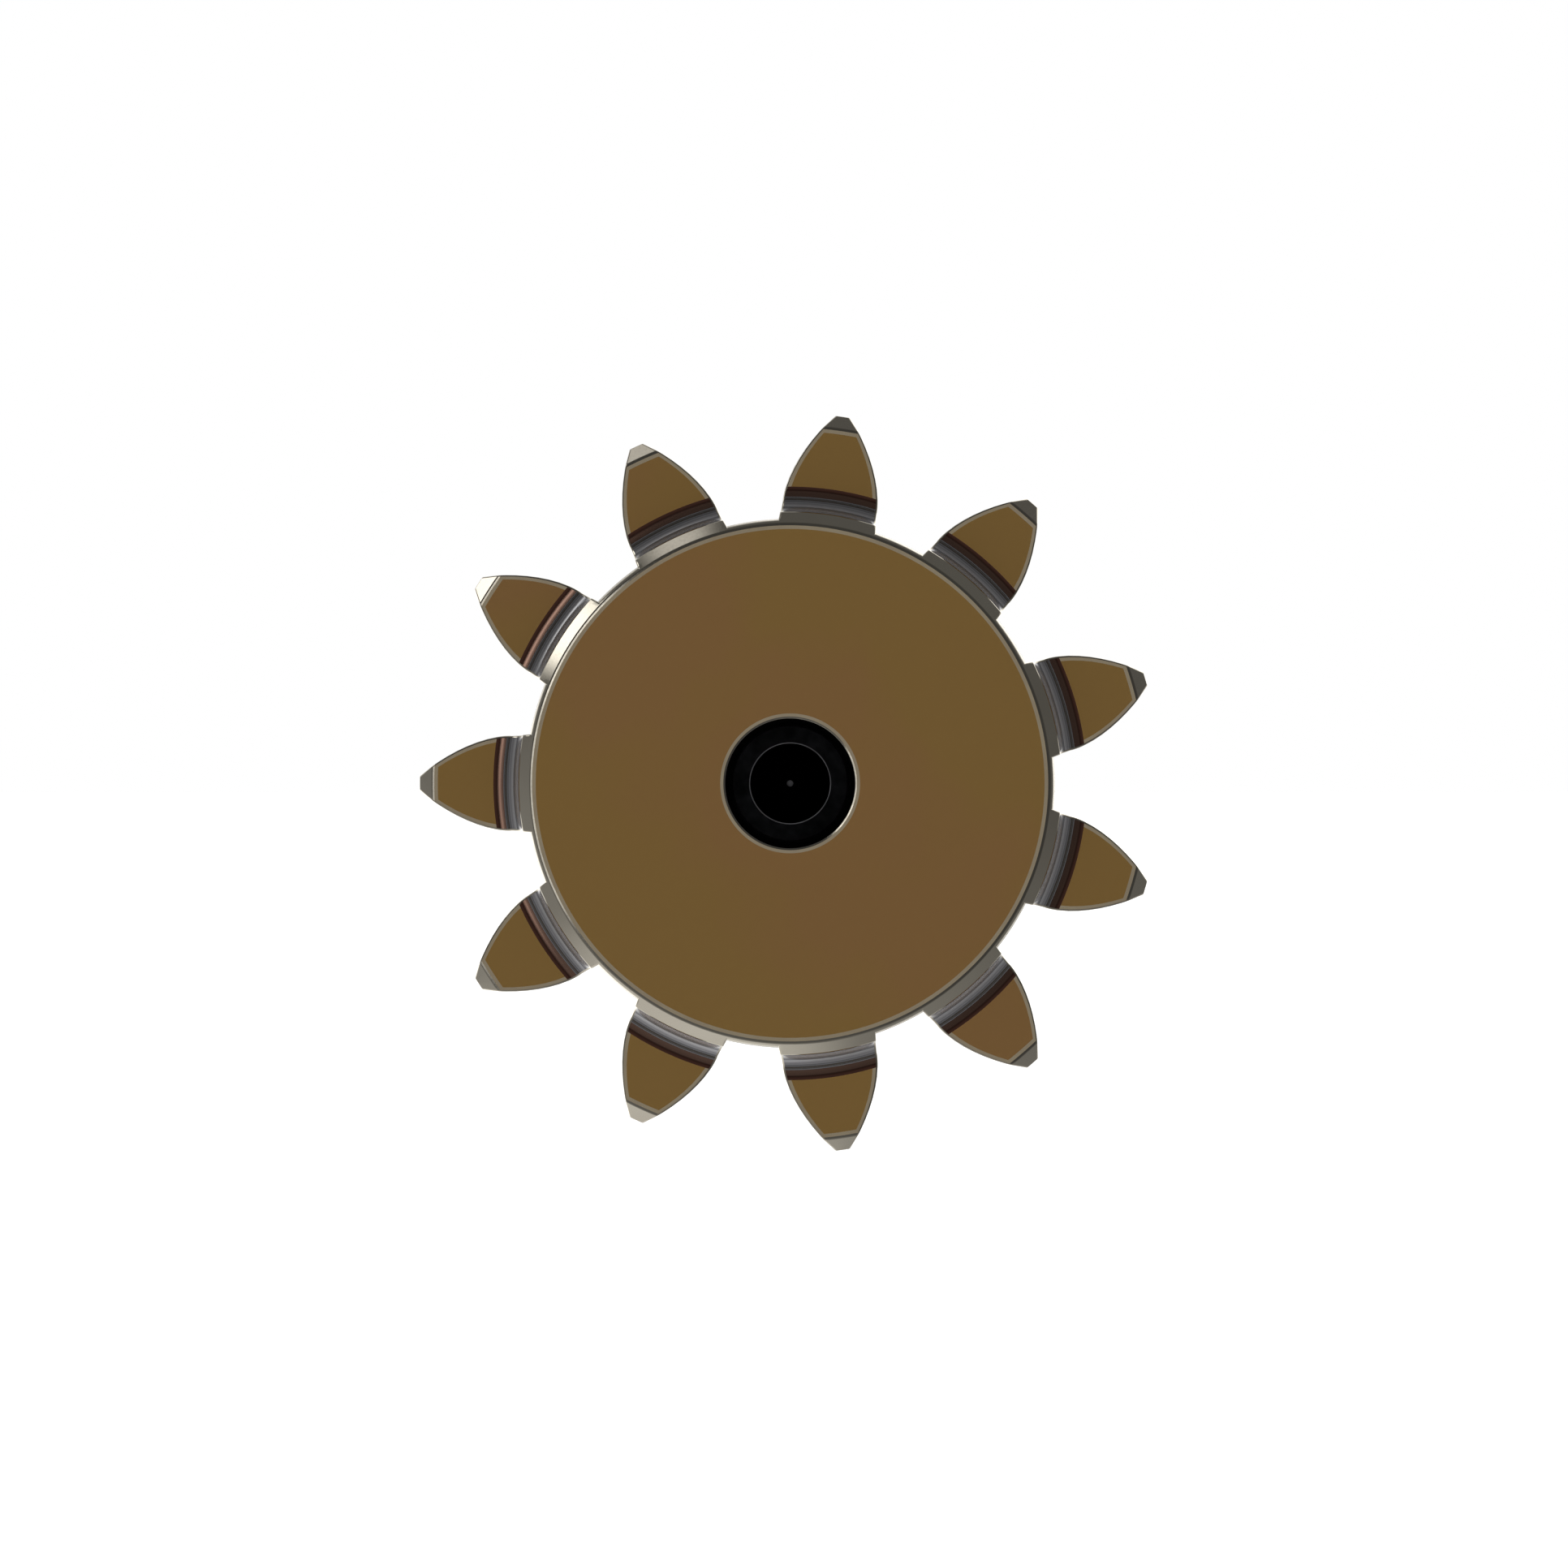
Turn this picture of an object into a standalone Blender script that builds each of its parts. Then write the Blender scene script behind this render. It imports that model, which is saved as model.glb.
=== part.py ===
"""Planetary gear unit with an eleven tooth output pinion, every piece in its working place.

All pieces are laid out on one axis. In the local frame of the empty "gear_axis" that axis is Z,
the rear mounting face is at height 0 and the output pinion points to +Z. The empty turns the
unit so that the output end faces world -Y and local +Y is world +Z.
Lengths in this file are millimetres until they reach Blender, angles are degrees.
"""
import math

import bmesh
import bpy

MM = 0.001

# ---- clearances -----------------------------------------------------------------------------
SEAT_GAP = 0.1            # between pieces that sit on each other
RUN_GAP = 0.2             # between pieces that turn past each other
CUT_MARGIN = 1.0          # how far a cutter reaches past what it cuts

# ---- heights of the stack above the rear mounting face ----------------------------------------
RING_BOTTOM = 9.0         # top of the rear flange
NOSE_BOTTOM = 30.0        # top of the ring gear
FLANGE_TOP = 35.0         # top of the flange on the nose housing
REAR_BEARING = 43.0
BEARING_WIDTH = 9.0
FRONT_BEARING = 64.0
SHOULDER = FRONT_BEARING + BEARING_WIDTH      # the front bearing rests against it
NOSE_TOP = 81.0
PINION_BOTTOM = 83.0
TEETH_BOTTOM = 86.0
TEETH_TOP = 114.0
PINION_TOP = 117.5
SHAFT_END = 98.8

# ---- output pinion ------------------------------------------------------------------------------
PINION_MODULE = 4.0
PINION_TEETH = 11
PINION_PRESSURE = 20.0
PINION_THICKNESS = 6.77   # tooth thickness on the pitch circle
PINION_TIP = 27.4
PINION_ROOT = 19.0
PINION_ROOT_HALF = 3.52   # half the tooth width where it meets the root
PINION_CHAMFER = 1.15
HUB_RADIUS = 19.57
HUB_CHAMFER = 0.97
HUB_FILLET = 2.2
REAR_HUB_RADIUS = 18.0
SCREW_HOLE_RADIUS = 4.64
FIRST_TOOTH = 180.0       # one tooth points along local -X

# ---- output shaft and its key ---------------------------------------------------------------------
PINION_SEAT_RADIUS = 8.0
JOURNAL_RADIUS = 10.0
COLLAR_RADIUS = 12.0
COLLAR_THICK = 2.0
SPIGOT_RADIUS = 9.0
SPIGOT_FLAT = 7.5         # from the axis to each of the two flats
SHAFT_CHAMFER = 0.5
TAP_RADIUS = 3.4
TAP_DEPTH = 20.0
TAP_POINT = 2.0           # height of the drill's cone below the tapped hole
KEY_WIDTH = 5.0
KEY_HEIGHT = 5.0
KEY_FLOOR = 5.0           # from the axis to the bottom of the shaft's keyway
KEY_BOTTOM = 84.0
KEY_TOP = 97.0
KEY_ROOF_GAP = 0.3        # from the key's nominal top to the pinion's keyway

# ---- planetary stage ------------------------------------------------------------------------------
STAGE_MODULE = 1.25
STAGE_PRESSURE = 25.0
STAGE_ADDENDUM = 0.9
STAGE_DEDENDUM = 1.2
BACKLASH = 0.05           # taken off each flank
SUN_TEETH = 12
PLANET_TEETH = 12
RING_TEETH = SUN_TEETH + 2 * PLANET_TEETH
PLANET_CIRCLE = STAGE_MODULE * (SUN_TEETH + PLANET_TEETH) / 2
PLANET_ANGLES = (90.0, 210.0, 330.0)
PLANET_BOTTOM = 18.2
PLANET_TOP = 32.2
WASHER_THICK = 1.0
WASHER_RADIUS = 5.6
CLIP_THICK = 0.8
BUSH_RADIUS = 4.0
PIN_RADIUS = 3.0
PIN_BOTTOM = 14.5
PIN_TOP = 40.2
PIN_CHAMFER = 0.4
PIN_GROOVE_DEPTH = 0.6
PIN_CLIP_REACH = 1.6      # how far the snap ring stands out from the pin
PIN_CLIP_OPENING = 90.0
CARRIER_BOTTOM = 33.6
CARRIER_TOP = 40.7
CARRIER_RADIUS = 19.8
SUN_HUB_BOTTOM = 4.0
SUN_HUB_TOP = 12.0
SUN_TOP = 31.9
SUN_HUB_RADIUS = 9.0
SUN_BORE_RADIUS = 4.0
GRUB_HEIGHT = 8.0
GRUB_RADIUS = 1.5
GRUB_SINK = 0.5           # how far it is screwed in below the hub

# ---- bearings -------------------------------------------------------------------------------------
BEARING_OUTER = 18.5
PITCH_RADIUS = 14.25
BALL_RADIUS = 2.75
BALLS = 8
INNER_LAND = 12.3
OUTER_LAND = 16.2
CAGE_INNER = 13.4
CAGE_OUTER = 15.1
CAGE_HALF = 3.6
POCKET_RADIUS = 3.15
OUTER_GROOVE_ROOM = 0.4   # by which the outer groove's radius exceeds the balls'
INNER_GROOVE_ROOM = 0.15

# ---- housing --------------------------------------------------------------------------------------
CASE_RADIUS = 30.0
REAR_RADIUS = 33.0
BARREL_RADIUS = 23.0
BARREL_CHAMFER = 1.5
FOOT_RADIUS = 23.8        # thicker foot of the barrel, on the flange
FOOT_TOP = 41.0
FOOT_CHAMFER = 1.0
STAGE_CAVITY = 24.6
STAGE_CAVITY_TOP = 33.0
CARRIER_CAVITY = 21.0
CARRIER_CAVITY_TOP = 41.2
SEAL_RADIUS = 16.0
SEAL_BOTTOM = 74.3
SEAL_TOP = 80.5
SEAL_WALL = 1.2
SEAL_WEB = 1.5            # thickness of the ring that carries the lip
REAR_OPENING = 20.0
REGISTER_RADIUS = 24.0
REGISTER_DEPTH = 2.0
MOUNT_CIRCLE = 28.5
MOUNT_ANGLES = (0.0, 90.0, 180.0, 270.0)
MOUNT_HOLE = 2.2
CASE_SCREW_CIRCLE = 27.0
CASE_SCREW_ANGLES = (45.0, 135.0, 225.0, 315.0)
CASE_SCREW_RADIUS = 1.5
CASE_SCREW_HEAD = 2.75
CASE_SCREW_BOTTOM = 3.0
CASE_SCREW_RUNOUT = 0.5   # tapped depth below the screw's end
SOCKET_RADIUS = 1.45
SOCKET_DEPTH = 1.6
CIRCLIP_THICK = 1.1
HOUSING_GROOVE_DEPTH = 1.0
HOUSING_CLIP_REACH = 0.85   # how far each circlip enters its groove
HOUSING_CLIP_OPENING = 40.0
SHAFT_GROOVE_DEPTH = 0.6
SHAFT_CLIP_REACH = 0.45
SHAFT_CLIP_OPENING = 60.0

# ---- facets ---------------------------------------------------------------------------------------
ROUND = 24                # large turned pieces
SMALL_ROUND = 12
TINY_ROUND = 8
PINION_ROUND = 4 * PINION_TEETH


# ==== scene and materials ============================================================================
def empty_scene():
    """Remove what a new file holds, and make the collections."""
    for item in list(bpy.data.objects):
        bpy.data.objects.remove(item, do_unlink=True)
    for name in ("planetary_gear_set", "cutters"):
        collection = bpy.data.collections.new(name)
        bpy.context.scene.collection.children.link(collection)


def make_material(name, colour, metallic, roughness):
    material = bpy.data.materials.new(name)
    material.use_nodes = True
    shader = material.node_tree.nodes["Principled BSDF"]
    shader.inputs["Base Color"].default_value = (*colour, 1.0)
    shader.inputs["Metallic"].default_value = metallic
    shader.inputs["Roughness"].default_value = roughness
    return material


def make_materials():
    return {
        "tempered_steel": make_material("tempered_steel", (0.15, 0.085, 0.03), 1.0, 0.35),
        "ground_steel": make_material("ground_steel", (0.56, 0.55, 0.53), 1.0, 0.28),
        "black_oxide": make_material("black_oxide", (0.018, 0.018, 0.02), 0.6, 0.42),
        "cast_aluminium": make_material("cast_aluminium", (0.50, 0.51, 0.52), 1.0, 0.45),
        "bronze": make_material("bronze", (0.45, 0.25, 0.09), 1.0, 0.35),
        "brass": make_material("brass", (0.62, 0.42, 0.15), 1.0, 0.3),
        "nitrile_rubber": make_material("nitrile_rubber", (0.012, 0.012, 0.013), 0.0, 0.6),
    }


# ==== making objects =================================================================================
def polar(radius, angle):
    turn = math.radians(angle)
    return (radius * math.cos(turn), radius * math.sin(turn))


def arc(centre, radius, start, end, count):
    """Points of an arc from the start angle to the end angle, both included."""
    steps = [start + (end - start) * i / (count - 1) for i in range(count)]
    return [(centre[0] + polar(radius, a)[0], centre[1] + polar(radius, a)[1]) for a in steps]


def circle(radius, count, centre=(0.0, 0.0)):
    return arc(centre, radius, 0.0, 360.0 - 360.0 / count, count)


def new_object(name, mesh, material, centre=(0.0, 0.0), spin=0.0):
    """Link a mesh as a part on the gear axis; centre is where its own axis stands."""
    part = bpy.data.objects.new(name, mesh)
    if not mesh.materials:
        mesh.materials.append(material)
    part.parent = bpy.data.objects["gear_axis"]
    part.location = (centre[0] * MM, centre[1] * MM, 0.0)
    part.rotation_euler = (0.0, 0.0, math.radians(spin))
    bpy.data.collections["planetary_gear_set"].objects.link(part)
    return part


def turned(name, profile, material, segments=ROUND, closed=True, centre=(0.0, 0.0)):
    """Turn a profile of (radius, height) points, which runs down the outer side of the piece.

    A closed profile makes a ring. An open one starts and ends on the axis.
    """
    points = [(radius * MM, 0.0, height * MM) for radius, height in profile]
    edges = [(i, i + 1) for i in range(len(points) - 1)]
    if closed:
        edges.append((len(points) - 1, 0))
    mesh = bpy.data.meshes.new(name)
    mesh.from_pydata(points, edges, [])
    part = new_object(name, mesh, material, centre)
    screw = part.modifiers.new("turn", "SCREW")
    screw.steps = segments
    screw.render_steps = segments
    screw.use_merge_vertices = True
    screw.merge_threshold = 0.00001
    screw.use_smooth_shade = False
    return part


def flat_mesh(name, outlines, bottom, top):
    """Extrude closed outlines into one welded mesh; an outline inside another is a hole."""
    curve = bpy.data.curves.new(name, "CURVE")
    curve.dimensions = "2D"
    curve.fill_mode = "BOTH"
    curve.extrude = (top - bottom) * MM / 2
    for outline in outlines:
        spline = curve.splines.new("POLY")
        spline.points.add(len(outline) - 1)
        spline.use_cyclic_u = True
        for point, (x, y) in zip(spline.points, outline):
            point.co = (x * MM, y * MM, 0.0, 1.0)
    holder = bpy.data.objects.new(name + "_outline", curve)
    bpy.context.scene.collection.objects.link(holder)
    evaluated = holder.evaluated_get(bpy.context.evaluated_depsgraph_get())
    mesh = bpy.data.meshes.new_from_object(evaluated)
    bpy.data.objects.remove(holder, do_unlink=True)

    shape = bmesh.new()
    shape.from_mesh(mesh)
    bmesh.ops.remove_doubles(shape, verts=shape.verts, dist=0.000001)
    bmesh.ops.translate(shape, verts=shape.verts, vec=(0.0, 0.0, (top + bottom) * MM / 2))
    bmesh.ops.recalc_face_normals(shape, faces=shape.faces)
    shape.to_mesh(mesh)
    shape.free()
    return mesh


def flat(name, outlines, bottom, top, material, centre=(0.0, 0.0)):
    return new_object(name, flat_mesh(name, outlines, bottom, top), material, centre)


def make_cutter(name, mesh, target):
    """Hide an object that only cuts, and keep it in the target's own frame."""
    cutter = bpy.data.objects.new(name, mesh)
    cutter.parent = target.parent
    cutter.location = target.location
    cutter.rotation_euler = target.rotation_euler
    cutter.hide_render = True
    cutter.display_type = "WIRE"
    bpy.data.collections["cutters"].objects.link(cutter)
    return cutter


def apply_cutter(target, cutter, operation):
    boolean = target.modifiers.new(cutter.name, "BOOLEAN")
    boolean.operation = operation
    boolean.solver = "EXACT"
    boolean.object = cutter


def cut_outline(target, name, outline, bottom, top, operation="DIFFERENCE"):
    """Cut an extruded outline out of the target, or keep or add it."""
    cutter = make_cutter(name, flat_mesh(name, [outline], bottom, top), target)
    apply_cutter(target, cutter, operation)


def rectangle(x_low, x_high, y_low, y_high):
    return [(x_low, y_low), (x_high, y_low), (x_high, y_high), (x_low, y_high)]


def rod_mesh(name, radius, length):
    """Round rod along Z, centred on its own origin."""
    mesh = bpy.data.meshes.new(name)
    shape = bmesh.new()
    bmesh.ops.create_cone(
        shape, cap_ends=True, segments=TINY_ROUND, radius1=radius * MM, radius2=radius * MM,
        depth=length * MM)
    shape.to_mesh(mesh)
    shape.free()
    return mesh


def cut_round_across(target, name, radius, height, direction, start, end):
    """Cut a round hole that runs outward from the axis in the given direction."""
    cutter = make_cutter(name, rod_mesh(name, radius, end - start), target)
    x, y = polar((start + end) / 2, direction)
    cutter.location = (x * MM, y * MM, height * MM)
    cutter.rotation_euler = (0.0, math.radians(90.0), math.radians(direction))
    apply_cutter(target, cutter, "DIFFERENCE")


# ==== gear teeth =====================================================================================
def involute(angle):
    return math.tan(angle) - angle


def flank_angle(radius, pitch, pressure, thickness):
    """Half the angle that a tooth of this pitch-circle thickness fills at the given radius."""
    pressure = math.radians(pressure)
    base = pitch * math.cos(pressure)
    at_radius = math.acos(min(1.0, base / radius))
    return math.degrees(thickness / (2 * pitch) + involute(pressure) - involute(at_radius))


def toothed_outline(teeth, first, section):
    """Closed outline of evenly spaced teeth.

    section is one side of a tooth, from its foot to its tip, as (radius, half angle) points.
    """
    outline = []
    for tooth in range(teeth):
        middle = first + tooth * 360.0 / teeth
        outline += [polar(radius, middle - half) for radius, half in section]
        outline += [polar(radius, middle + half) for radius, half in reversed(section)]
    return outline


def spaced(start, end, count):
    return [start + (end - start) * i / (count - 1) for i in range(count)]


def pinion_outline():
    pitch = PINION_MODULE * PINION_TEETH / 2
    base = pitch * math.cos(math.radians(PINION_PRESSURE))
    foot = math.degrees(math.asin(PINION_ROOT_HALF / PINION_ROOT))
    middle_of_gap = 180.0 / PINION_TEETH
    section = [(PINION_ROOT, middle_of_gap - (middle_of_gap - foot) / 2), (PINION_ROOT, foot)]
    for radius in spaced(base, PINION_TIP + SEAT_GAP, 6):
        section.append((radius, flank_angle(radius, pitch, PINION_PRESSURE, PINION_THICKNESS)))
    return toothed_outline(PINION_TEETH, FIRST_TOOTH, section)


def stage_outline(teeth, first):
    """Outline of the sun or of a planet."""
    pitch = STAGE_MODULE * teeth / 2
    base = pitch * math.cos(math.radians(STAGE_PRESSURE))
    tip = pitch + STAGE_ADDENDUM * STAGE_MODULE
    thickness = math.pi * STAGE_MODULE / 2 - 2 * BACKLASH
    section = [(pitch - STAGE_DEDENDUM * STAGE_MODULE,
                flank_angle(base, pitch, STAGE_PRESSURE, thickness))]
    for radius in spaced(base, tip, 4):
        section.append((radius, flank_angle(radius, pitch, STAGE_PRESSURE, thickness)))
    return toothed_outline(teeth, first, section)


def ring_outline():
    """Inner outline of the ring gear: the spaces between its teeth, seen as teeth."""
    pitch = STAGE_MODULE * RING_TEETH / 2
    width = math.pi * STAGE_MODULE / 2 + 2 * BACKLASH
    inner = pitch - STAGE_ADDENDUM * STAGE_MODULE
    outer = pitch + STAGE_DEDENDUM * STAGE_MODULE
    section = [(radius, flank_angle(radius, pitch, STAGE_PRESSURE, width))
               for radius in spaced(inner, outer, 3)]
    return toothed_outline(RING_TEETH, 180.0 / RING_TEETH, section)


# ==== housing ========================================================================================
def make_rear_flange(materials):
    """Rear plate that the unit is bolted down by, open in the middle for the motor's shaft."""
    holes = [circle(MOUNT_HOLE, TINY_ROUND, polar(MOUNT_CIRCLE, angle)) for angle in MOUNT_ANGLES]
    outlines = [circle(REAR_RADIUS, 2 * ROUND), circle(REAR_OPENING, ROUND)] + holes
    flange = flat("rear_flange", outlines, 0.0, RING_BOTTOM - SEAT_GAP, materials["cast_aluminium"])
    cut_outline(flange, "register", circle(REGISTER_RADIUS, ROUND), -CUT_MARGIN, REGISTER_DEPTH)
    for index, angle in enumerate(CASE_SCREW_ANGLES):
        hole = circle(CASE_SCREW_RADIUS + SEAT_GAP, TINY_ROUND, polar(CASE_SCREW_CIRCLE, angle))
        cut_outline(flange, "rear_tapped_%d" % (index + 1), hole,
                    CASE_SCREW_BOTTOM - CASE_SCREW_RUNOUT, RING_BOTTOM + CUT_MARGIN)


def make_ring_gear(materials):
    holes = [circle(CASE_SCREW_RADIUS + RUN_GAP, TINY_ROUND, polar(CASE_SCREW_CIRCLE, angle))
             for angle in CASE_SCREW_ANGLES]
    outlines = [circle(CASE_RADIUS, 2 * ROUND), ring_outline()] + holes
    flat("ring_gear", outlines, RING_BOTTOM, NOSE_BOTTOM - SEAT_GAP, materials["ground_steel"])


def make_nose_housing(materials):
    """Front housing: the flange over the planets and the barrel that holds bearings and seal."""
    bore = BEARING_OUTER + SEAT_GAP / 2
    groove_bottom = REAR_BEARING - CIRCLIP_THICK - 2 * SEAT_GAP
    groove_radius = BEARING_OUTER + HOUSING_GROOVE_DEPTH
    profile = [
        (BARREL_RADIUS - BARREL_CHAMFER, NOSE_TOP), (BARREL_RADIUS, NOSE_TOP - BARREL_CHAMFER),
        (BARREL_RADIUS, FOOT_TOP), (FOOT_RADIUS, FOOT_TOP - FOOT_CHAMFER),
        (FOOT_RADIUS, FLANGE_TOP), (CASE_RADIUS, FLANGE_TOP), (CASE_RADIUS, NOSE_BOTTOM),
        (STAGE_CAVITY, NOSE_BOTTOM), (STAGE_CAVITY, STAGE_CAVITY_TOP),
        (CARRIER_CAVITY, STAGE_CAVITY_TOP), (CARRIER_CAVITY, CARRIER_CAVITY_TOP),
        (bore, CARRIER_CAVITY_TOP), (bore, groove_bottom), (groove_radius, groove_bottom),
        (groove_radius, REAR_BEARING), (bore, REAR_BEARING), (bore, SHOULDER),
        (SEAL_RADIUS + SEAT_GAP, SHOULDER), (SEAL_RADIUS + SEAT_GAP, NOSE_TOP)]
    nose = turned("nose_housing", profile, materials["cast_aluminium"])
    for index, angle in enumerate(CASE_SCREW_ANGLES):
        hole = circle(CASE_SCREW_RADIUS + RUN_GAP, TINY_ROUND, polar(CASE_SCREW_CIRCLE, angle))
        cut_outline(nose, "flange_hole_%d" % (index + 1), hole, NOSE_BOTTOM - CUT_MARGIN,
                    FLANGE_TOP + CUT_MARGIN)


def make_case_screws(materials):
    """Socket head screws that clamp the nose, the ring gear and the rear flange together."""
    seat = FLANGE_TOP + SEAT_GAP
    head_top = seat + 2 * CASE_SCREW_RADIUS
    profile = [(0.0, head_top), (CASE_SCREW_HEAD, head_top), (CASE_SCREW_HEAD, seat),
               (CASE_SCREW_RADIUS, seat), (CASE_SCREW_RADIUS, CASE_SCREW_BOTTOM),
               (0.0, CASE_SCREW_BOTTOM)]
    for index, angle in enumerate(CASE_SCREW_ANGLES):
        name = "case_screw_%d" % (index + 1)
        screw = turned(name, profile, materials["black_oxide"], TINY_ROUND, closed=False,
                       centre=polar(CASE_SCREW_CIRCLE, angle))
        cut_outline(screw, name + "_socket", circle(SOCKET_RADIUS, 6), head_top - SOCKET_DEPTH,
                    head_top + CUT_MARGIN)


def make_oil_seal(materials):
    """Rubber shaft seal whose lip runs on the shaft's journal."""
    lip = JOURNAL_RADIUS + RUN_GAP
    wall = SEAL_RADIUS - SEAL_WALL
    web = SEAL_TOP - SEAL_WEB
    profile = [(SEAL_RADIUS, SEAL_TOP), (SEAL_RADIUS, SEAL_BOTTOM), (wall, SEAL_BOTTOM),
               (wall, web), (lip + 1.8, web),
               (lip + 1.0, SEAL_BOTTOM + 0.9), (lip, SEAL_BOTTOM + 1.9), (lip, SEAL_BOTTOM + 2.5),
               (lip + 0.8, SEAL_TOP - 2.3), (lip + 0.6, SEAL_TOP)]
    turned("oil_seal", profile, materials["nitrile_rubber"])


# ==== bearings =======================================================================================
def groove_points(radius, land, middle, outward):
    """Ball groove from its lower edge to its upper edge, on the outer or the inner side of the balls."""
    side = 1.0 if outward else -1.0
    reach = math.degrees(math.acos(abs(land - PITCH_RADIUS) / radius))
    points = arc((0.0, 0.0), radius, -reach, reach, 5)
    return [(PITCH_RADIUS + side * x, middle + y) for x, y in points]


def make_bearing(prefix, bottom, materials):
    """Deep groove ball bearing: two rings, a cage and its balls."""
    top = bottom + BEARING_WIDTH - SEAT_GAP
    middle = (top + bottom) / 2
    outside = BEARING_OUTER - SEAT_GAP / 2
    outer_groove = groove_points(BALL_RADIUS + OUTER_GROOVE_ROOM, OUTER_LAND, middle, outward=True)
    outer = [(outside, top), (outside, bottom), (OUTER_LAND, bottom)] + outer_groove
    turned(prefix + "_bearing_outer", outer + [(OUTER_LAND, top)], materials["ground_steel"])

    bore = JOURNAL_RADIUS + SEAT_GAP
    inner_groove = groove_points(BALL_RADIUS + INNER_GROOVE_ROOM, INNER_LAND, middle, outward=False)
    inner = [(INNER_LAND, top)] + inner_groove[::-1] + [(INNER_LAND, bottom), (bore, bottom)]
    turned(prefix + "_bearing_inner", inner + [(bore, top)], materials["ground_steel"])

    cage_profile = [(CAGE_OUTER, middle + CAGE_HALF), (CAGE_OUTER, middle - CAGE_HALF),
                    (CAGE_INNER, middle - CAGE_HALF), (CAGE_INNER, middle + CAGE_HALF)]
    cage = turned(prefix + "_bearing_cage", cage_profile, materials["brass"], 3 * BALLS)
    for index in range(BALLS):
        angle = index * 360.0 / BALLS
        cut_round_across(cage, "%s_pocket_%d" % (prefix, index + 1), POCKET_RADIUS,
                         middle, angle, CAGE_INNER - 2 * CUT_MARGIN, CAGE_OUTER + 2 * CUT_MARGIN)
        make_ball("%s_bearing_ball_%d" % (prefix, index + 1), angle, middle, materials)


def make_ball(name, angle, height, materials):
    mesh = bpy.data.meshes.new(name)
    shape = bmesh.new()
    bmesh.ops.create_uvsphere(shape, u_segments=8, v_segments=6, radius=BALL_RADIUS * MM)
    bmesh.ops.translate(shape, verts=shape.verts, vec=(0.0, 0.0, height * MM))
    shape.to_mesh(mesh)
    shape.free()
    new_object(name, mesh, materials["ground_steel"], polar(PITCH_RADIUS, angle), angle)


def make_spacers(materials):
    """Distance sleeves between the two bearings, one on the shaft and one in the housing."""
    bottom = REAR_BEARING + BEARING_WIDTH
    top = FRONT_BEARING - SEAT_GAP
    outside = BEARING_OUTER - SEAT_GAP / 2
    bore = JOURNAL_RADIUS + SEAT_GAP
    sleeves = (("outer_spacer", outside, OUTER_LAND), ("inner_spacer", INNER_LAND, bore))
    for name, outer, inner in sleeves:
        turned(name, [(outer, top), (outer, bottom), (inner, bottom), (inner, top)],
               materials["ground_steel"])


def open_ring(inner, outer, gap, facing, count):
    """Outline of a snap ring whose opening of the given angle points in the facing direction."""
    start = facing + gap / 2
    end = facing + 360.0 - gap / 2
    return arc((0.0, 0.0), outer, start, end, count) + arc((0.0, 0.0), inner, end, start, count)


def make_circlips(materials):
    """Snap rings: one holds the bearings in the housing and one holds them on the shaft."""
    bottom = REAR_BEARING - CIRCLIP_THICK - SEAT_GAP
    housing_ring = open_ring(OUTER_LAND, BEARING_OUTER + HOUSING_CLIP_REACH, HOUSING_CLIP_OPENING,
                             270.0, ROUND)
    flat("housing_circlip", [housing_ring], bottom, REAR_BEARING - SEAT_GAP, materials["black_oxide"])
    shaft_ring = open_ring(JOURNAL_RADIUS - SHAFT_CLIP_REACH, INNER_LAND, SHAFT_CLIP_OPENING, 90.0, 20)
    flat("shaft_circlip", [shaft_ring], SHOULDER + SEAT_GAP, SHOULDER + CIRCLIP_THICK,
         materials["black_oxide"])


# ==== output side ====================================================================================
def make_output_shaft(materials):
    """Shaft that carries the planet carrier at its rear end and the pinion at its front end."""
    groove_top = SHOULDER + CIRCLIP_THICK + SEAT_GAP
    groove = JOURNAL_RADIUS - SHAFT_GROOVE_DEPTH
    collar_top = REAR_BEARING - SEAT_GAP
    collar_bottom = collar_top - COLLAR_THICK
    spigot_end = CARRIER_BOTTOM + SEAT_GAP
    profile = [
        (0.0, SHAFT_END - TAP_DEPTH - TAP_POINT), (TAP_RADIUS, SHAFT_END - TAP_DEPTH),
        (TAP_RADIUS, SHAFT_END), (PINION_SEAT_RADIUS - SHAFT_CHAMFER, SHAFT_END),
        (PINION_SEAT_RADIUS, SHAFT_END - SHAFT_CHAMFER),
        (PINION_SEAT_RADIUS, PINION_BOTTOM - SEAT_GAP),
        (JOURNAL_RADIUS, PINION_BOTTOM - SEAT_GAP), (JOURNAL_RADIUS, groove_top),
        (groove, groove_top), (groove, SHOULDER), (JOURNAL_RADIUS, SHOULDER),
        (JOURNAL_RADIUS, collar_top), (COLLAR_RADIUS, collar_top), (COLLAR_RADIUS, collar_bottom),
        (SPIGOT_RADIUS, collar_bottom), (SPIGOT_RADIUS, spigot_end), (0.0, spigot_end)]
    shaft = turned("output_shaft", profile, materials["black_oxide"], closed=False)
    half = KEY_WIDTH / 2 + SEAT_GAP
    keyway = rectangle(-half, half, KEY_FLOOR, JOURNAL_RADIUS + CUT_MARGIN)
    cut_outline(shaft, "shaft_keyway", keyway, KEY_BOTTOM, KEY_TOP)
    for side, name in ((1.0, "spigot_flat_upper"), (-1.0, "spigot_flat_lower")):
        low, high = sorted((side * SPIGOT_FLAT, side * 2 * SPIGOT_FLAT))
        across = rectangle(-SPIGOT_RADIUS - CUT_MARGIN, SPIGOT_RADIUS + CUT_MARGIN, low, high)
        cut_outline(shaft, name, across, spigot_end - CUT_MARGIN, collar_bottom)


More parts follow.
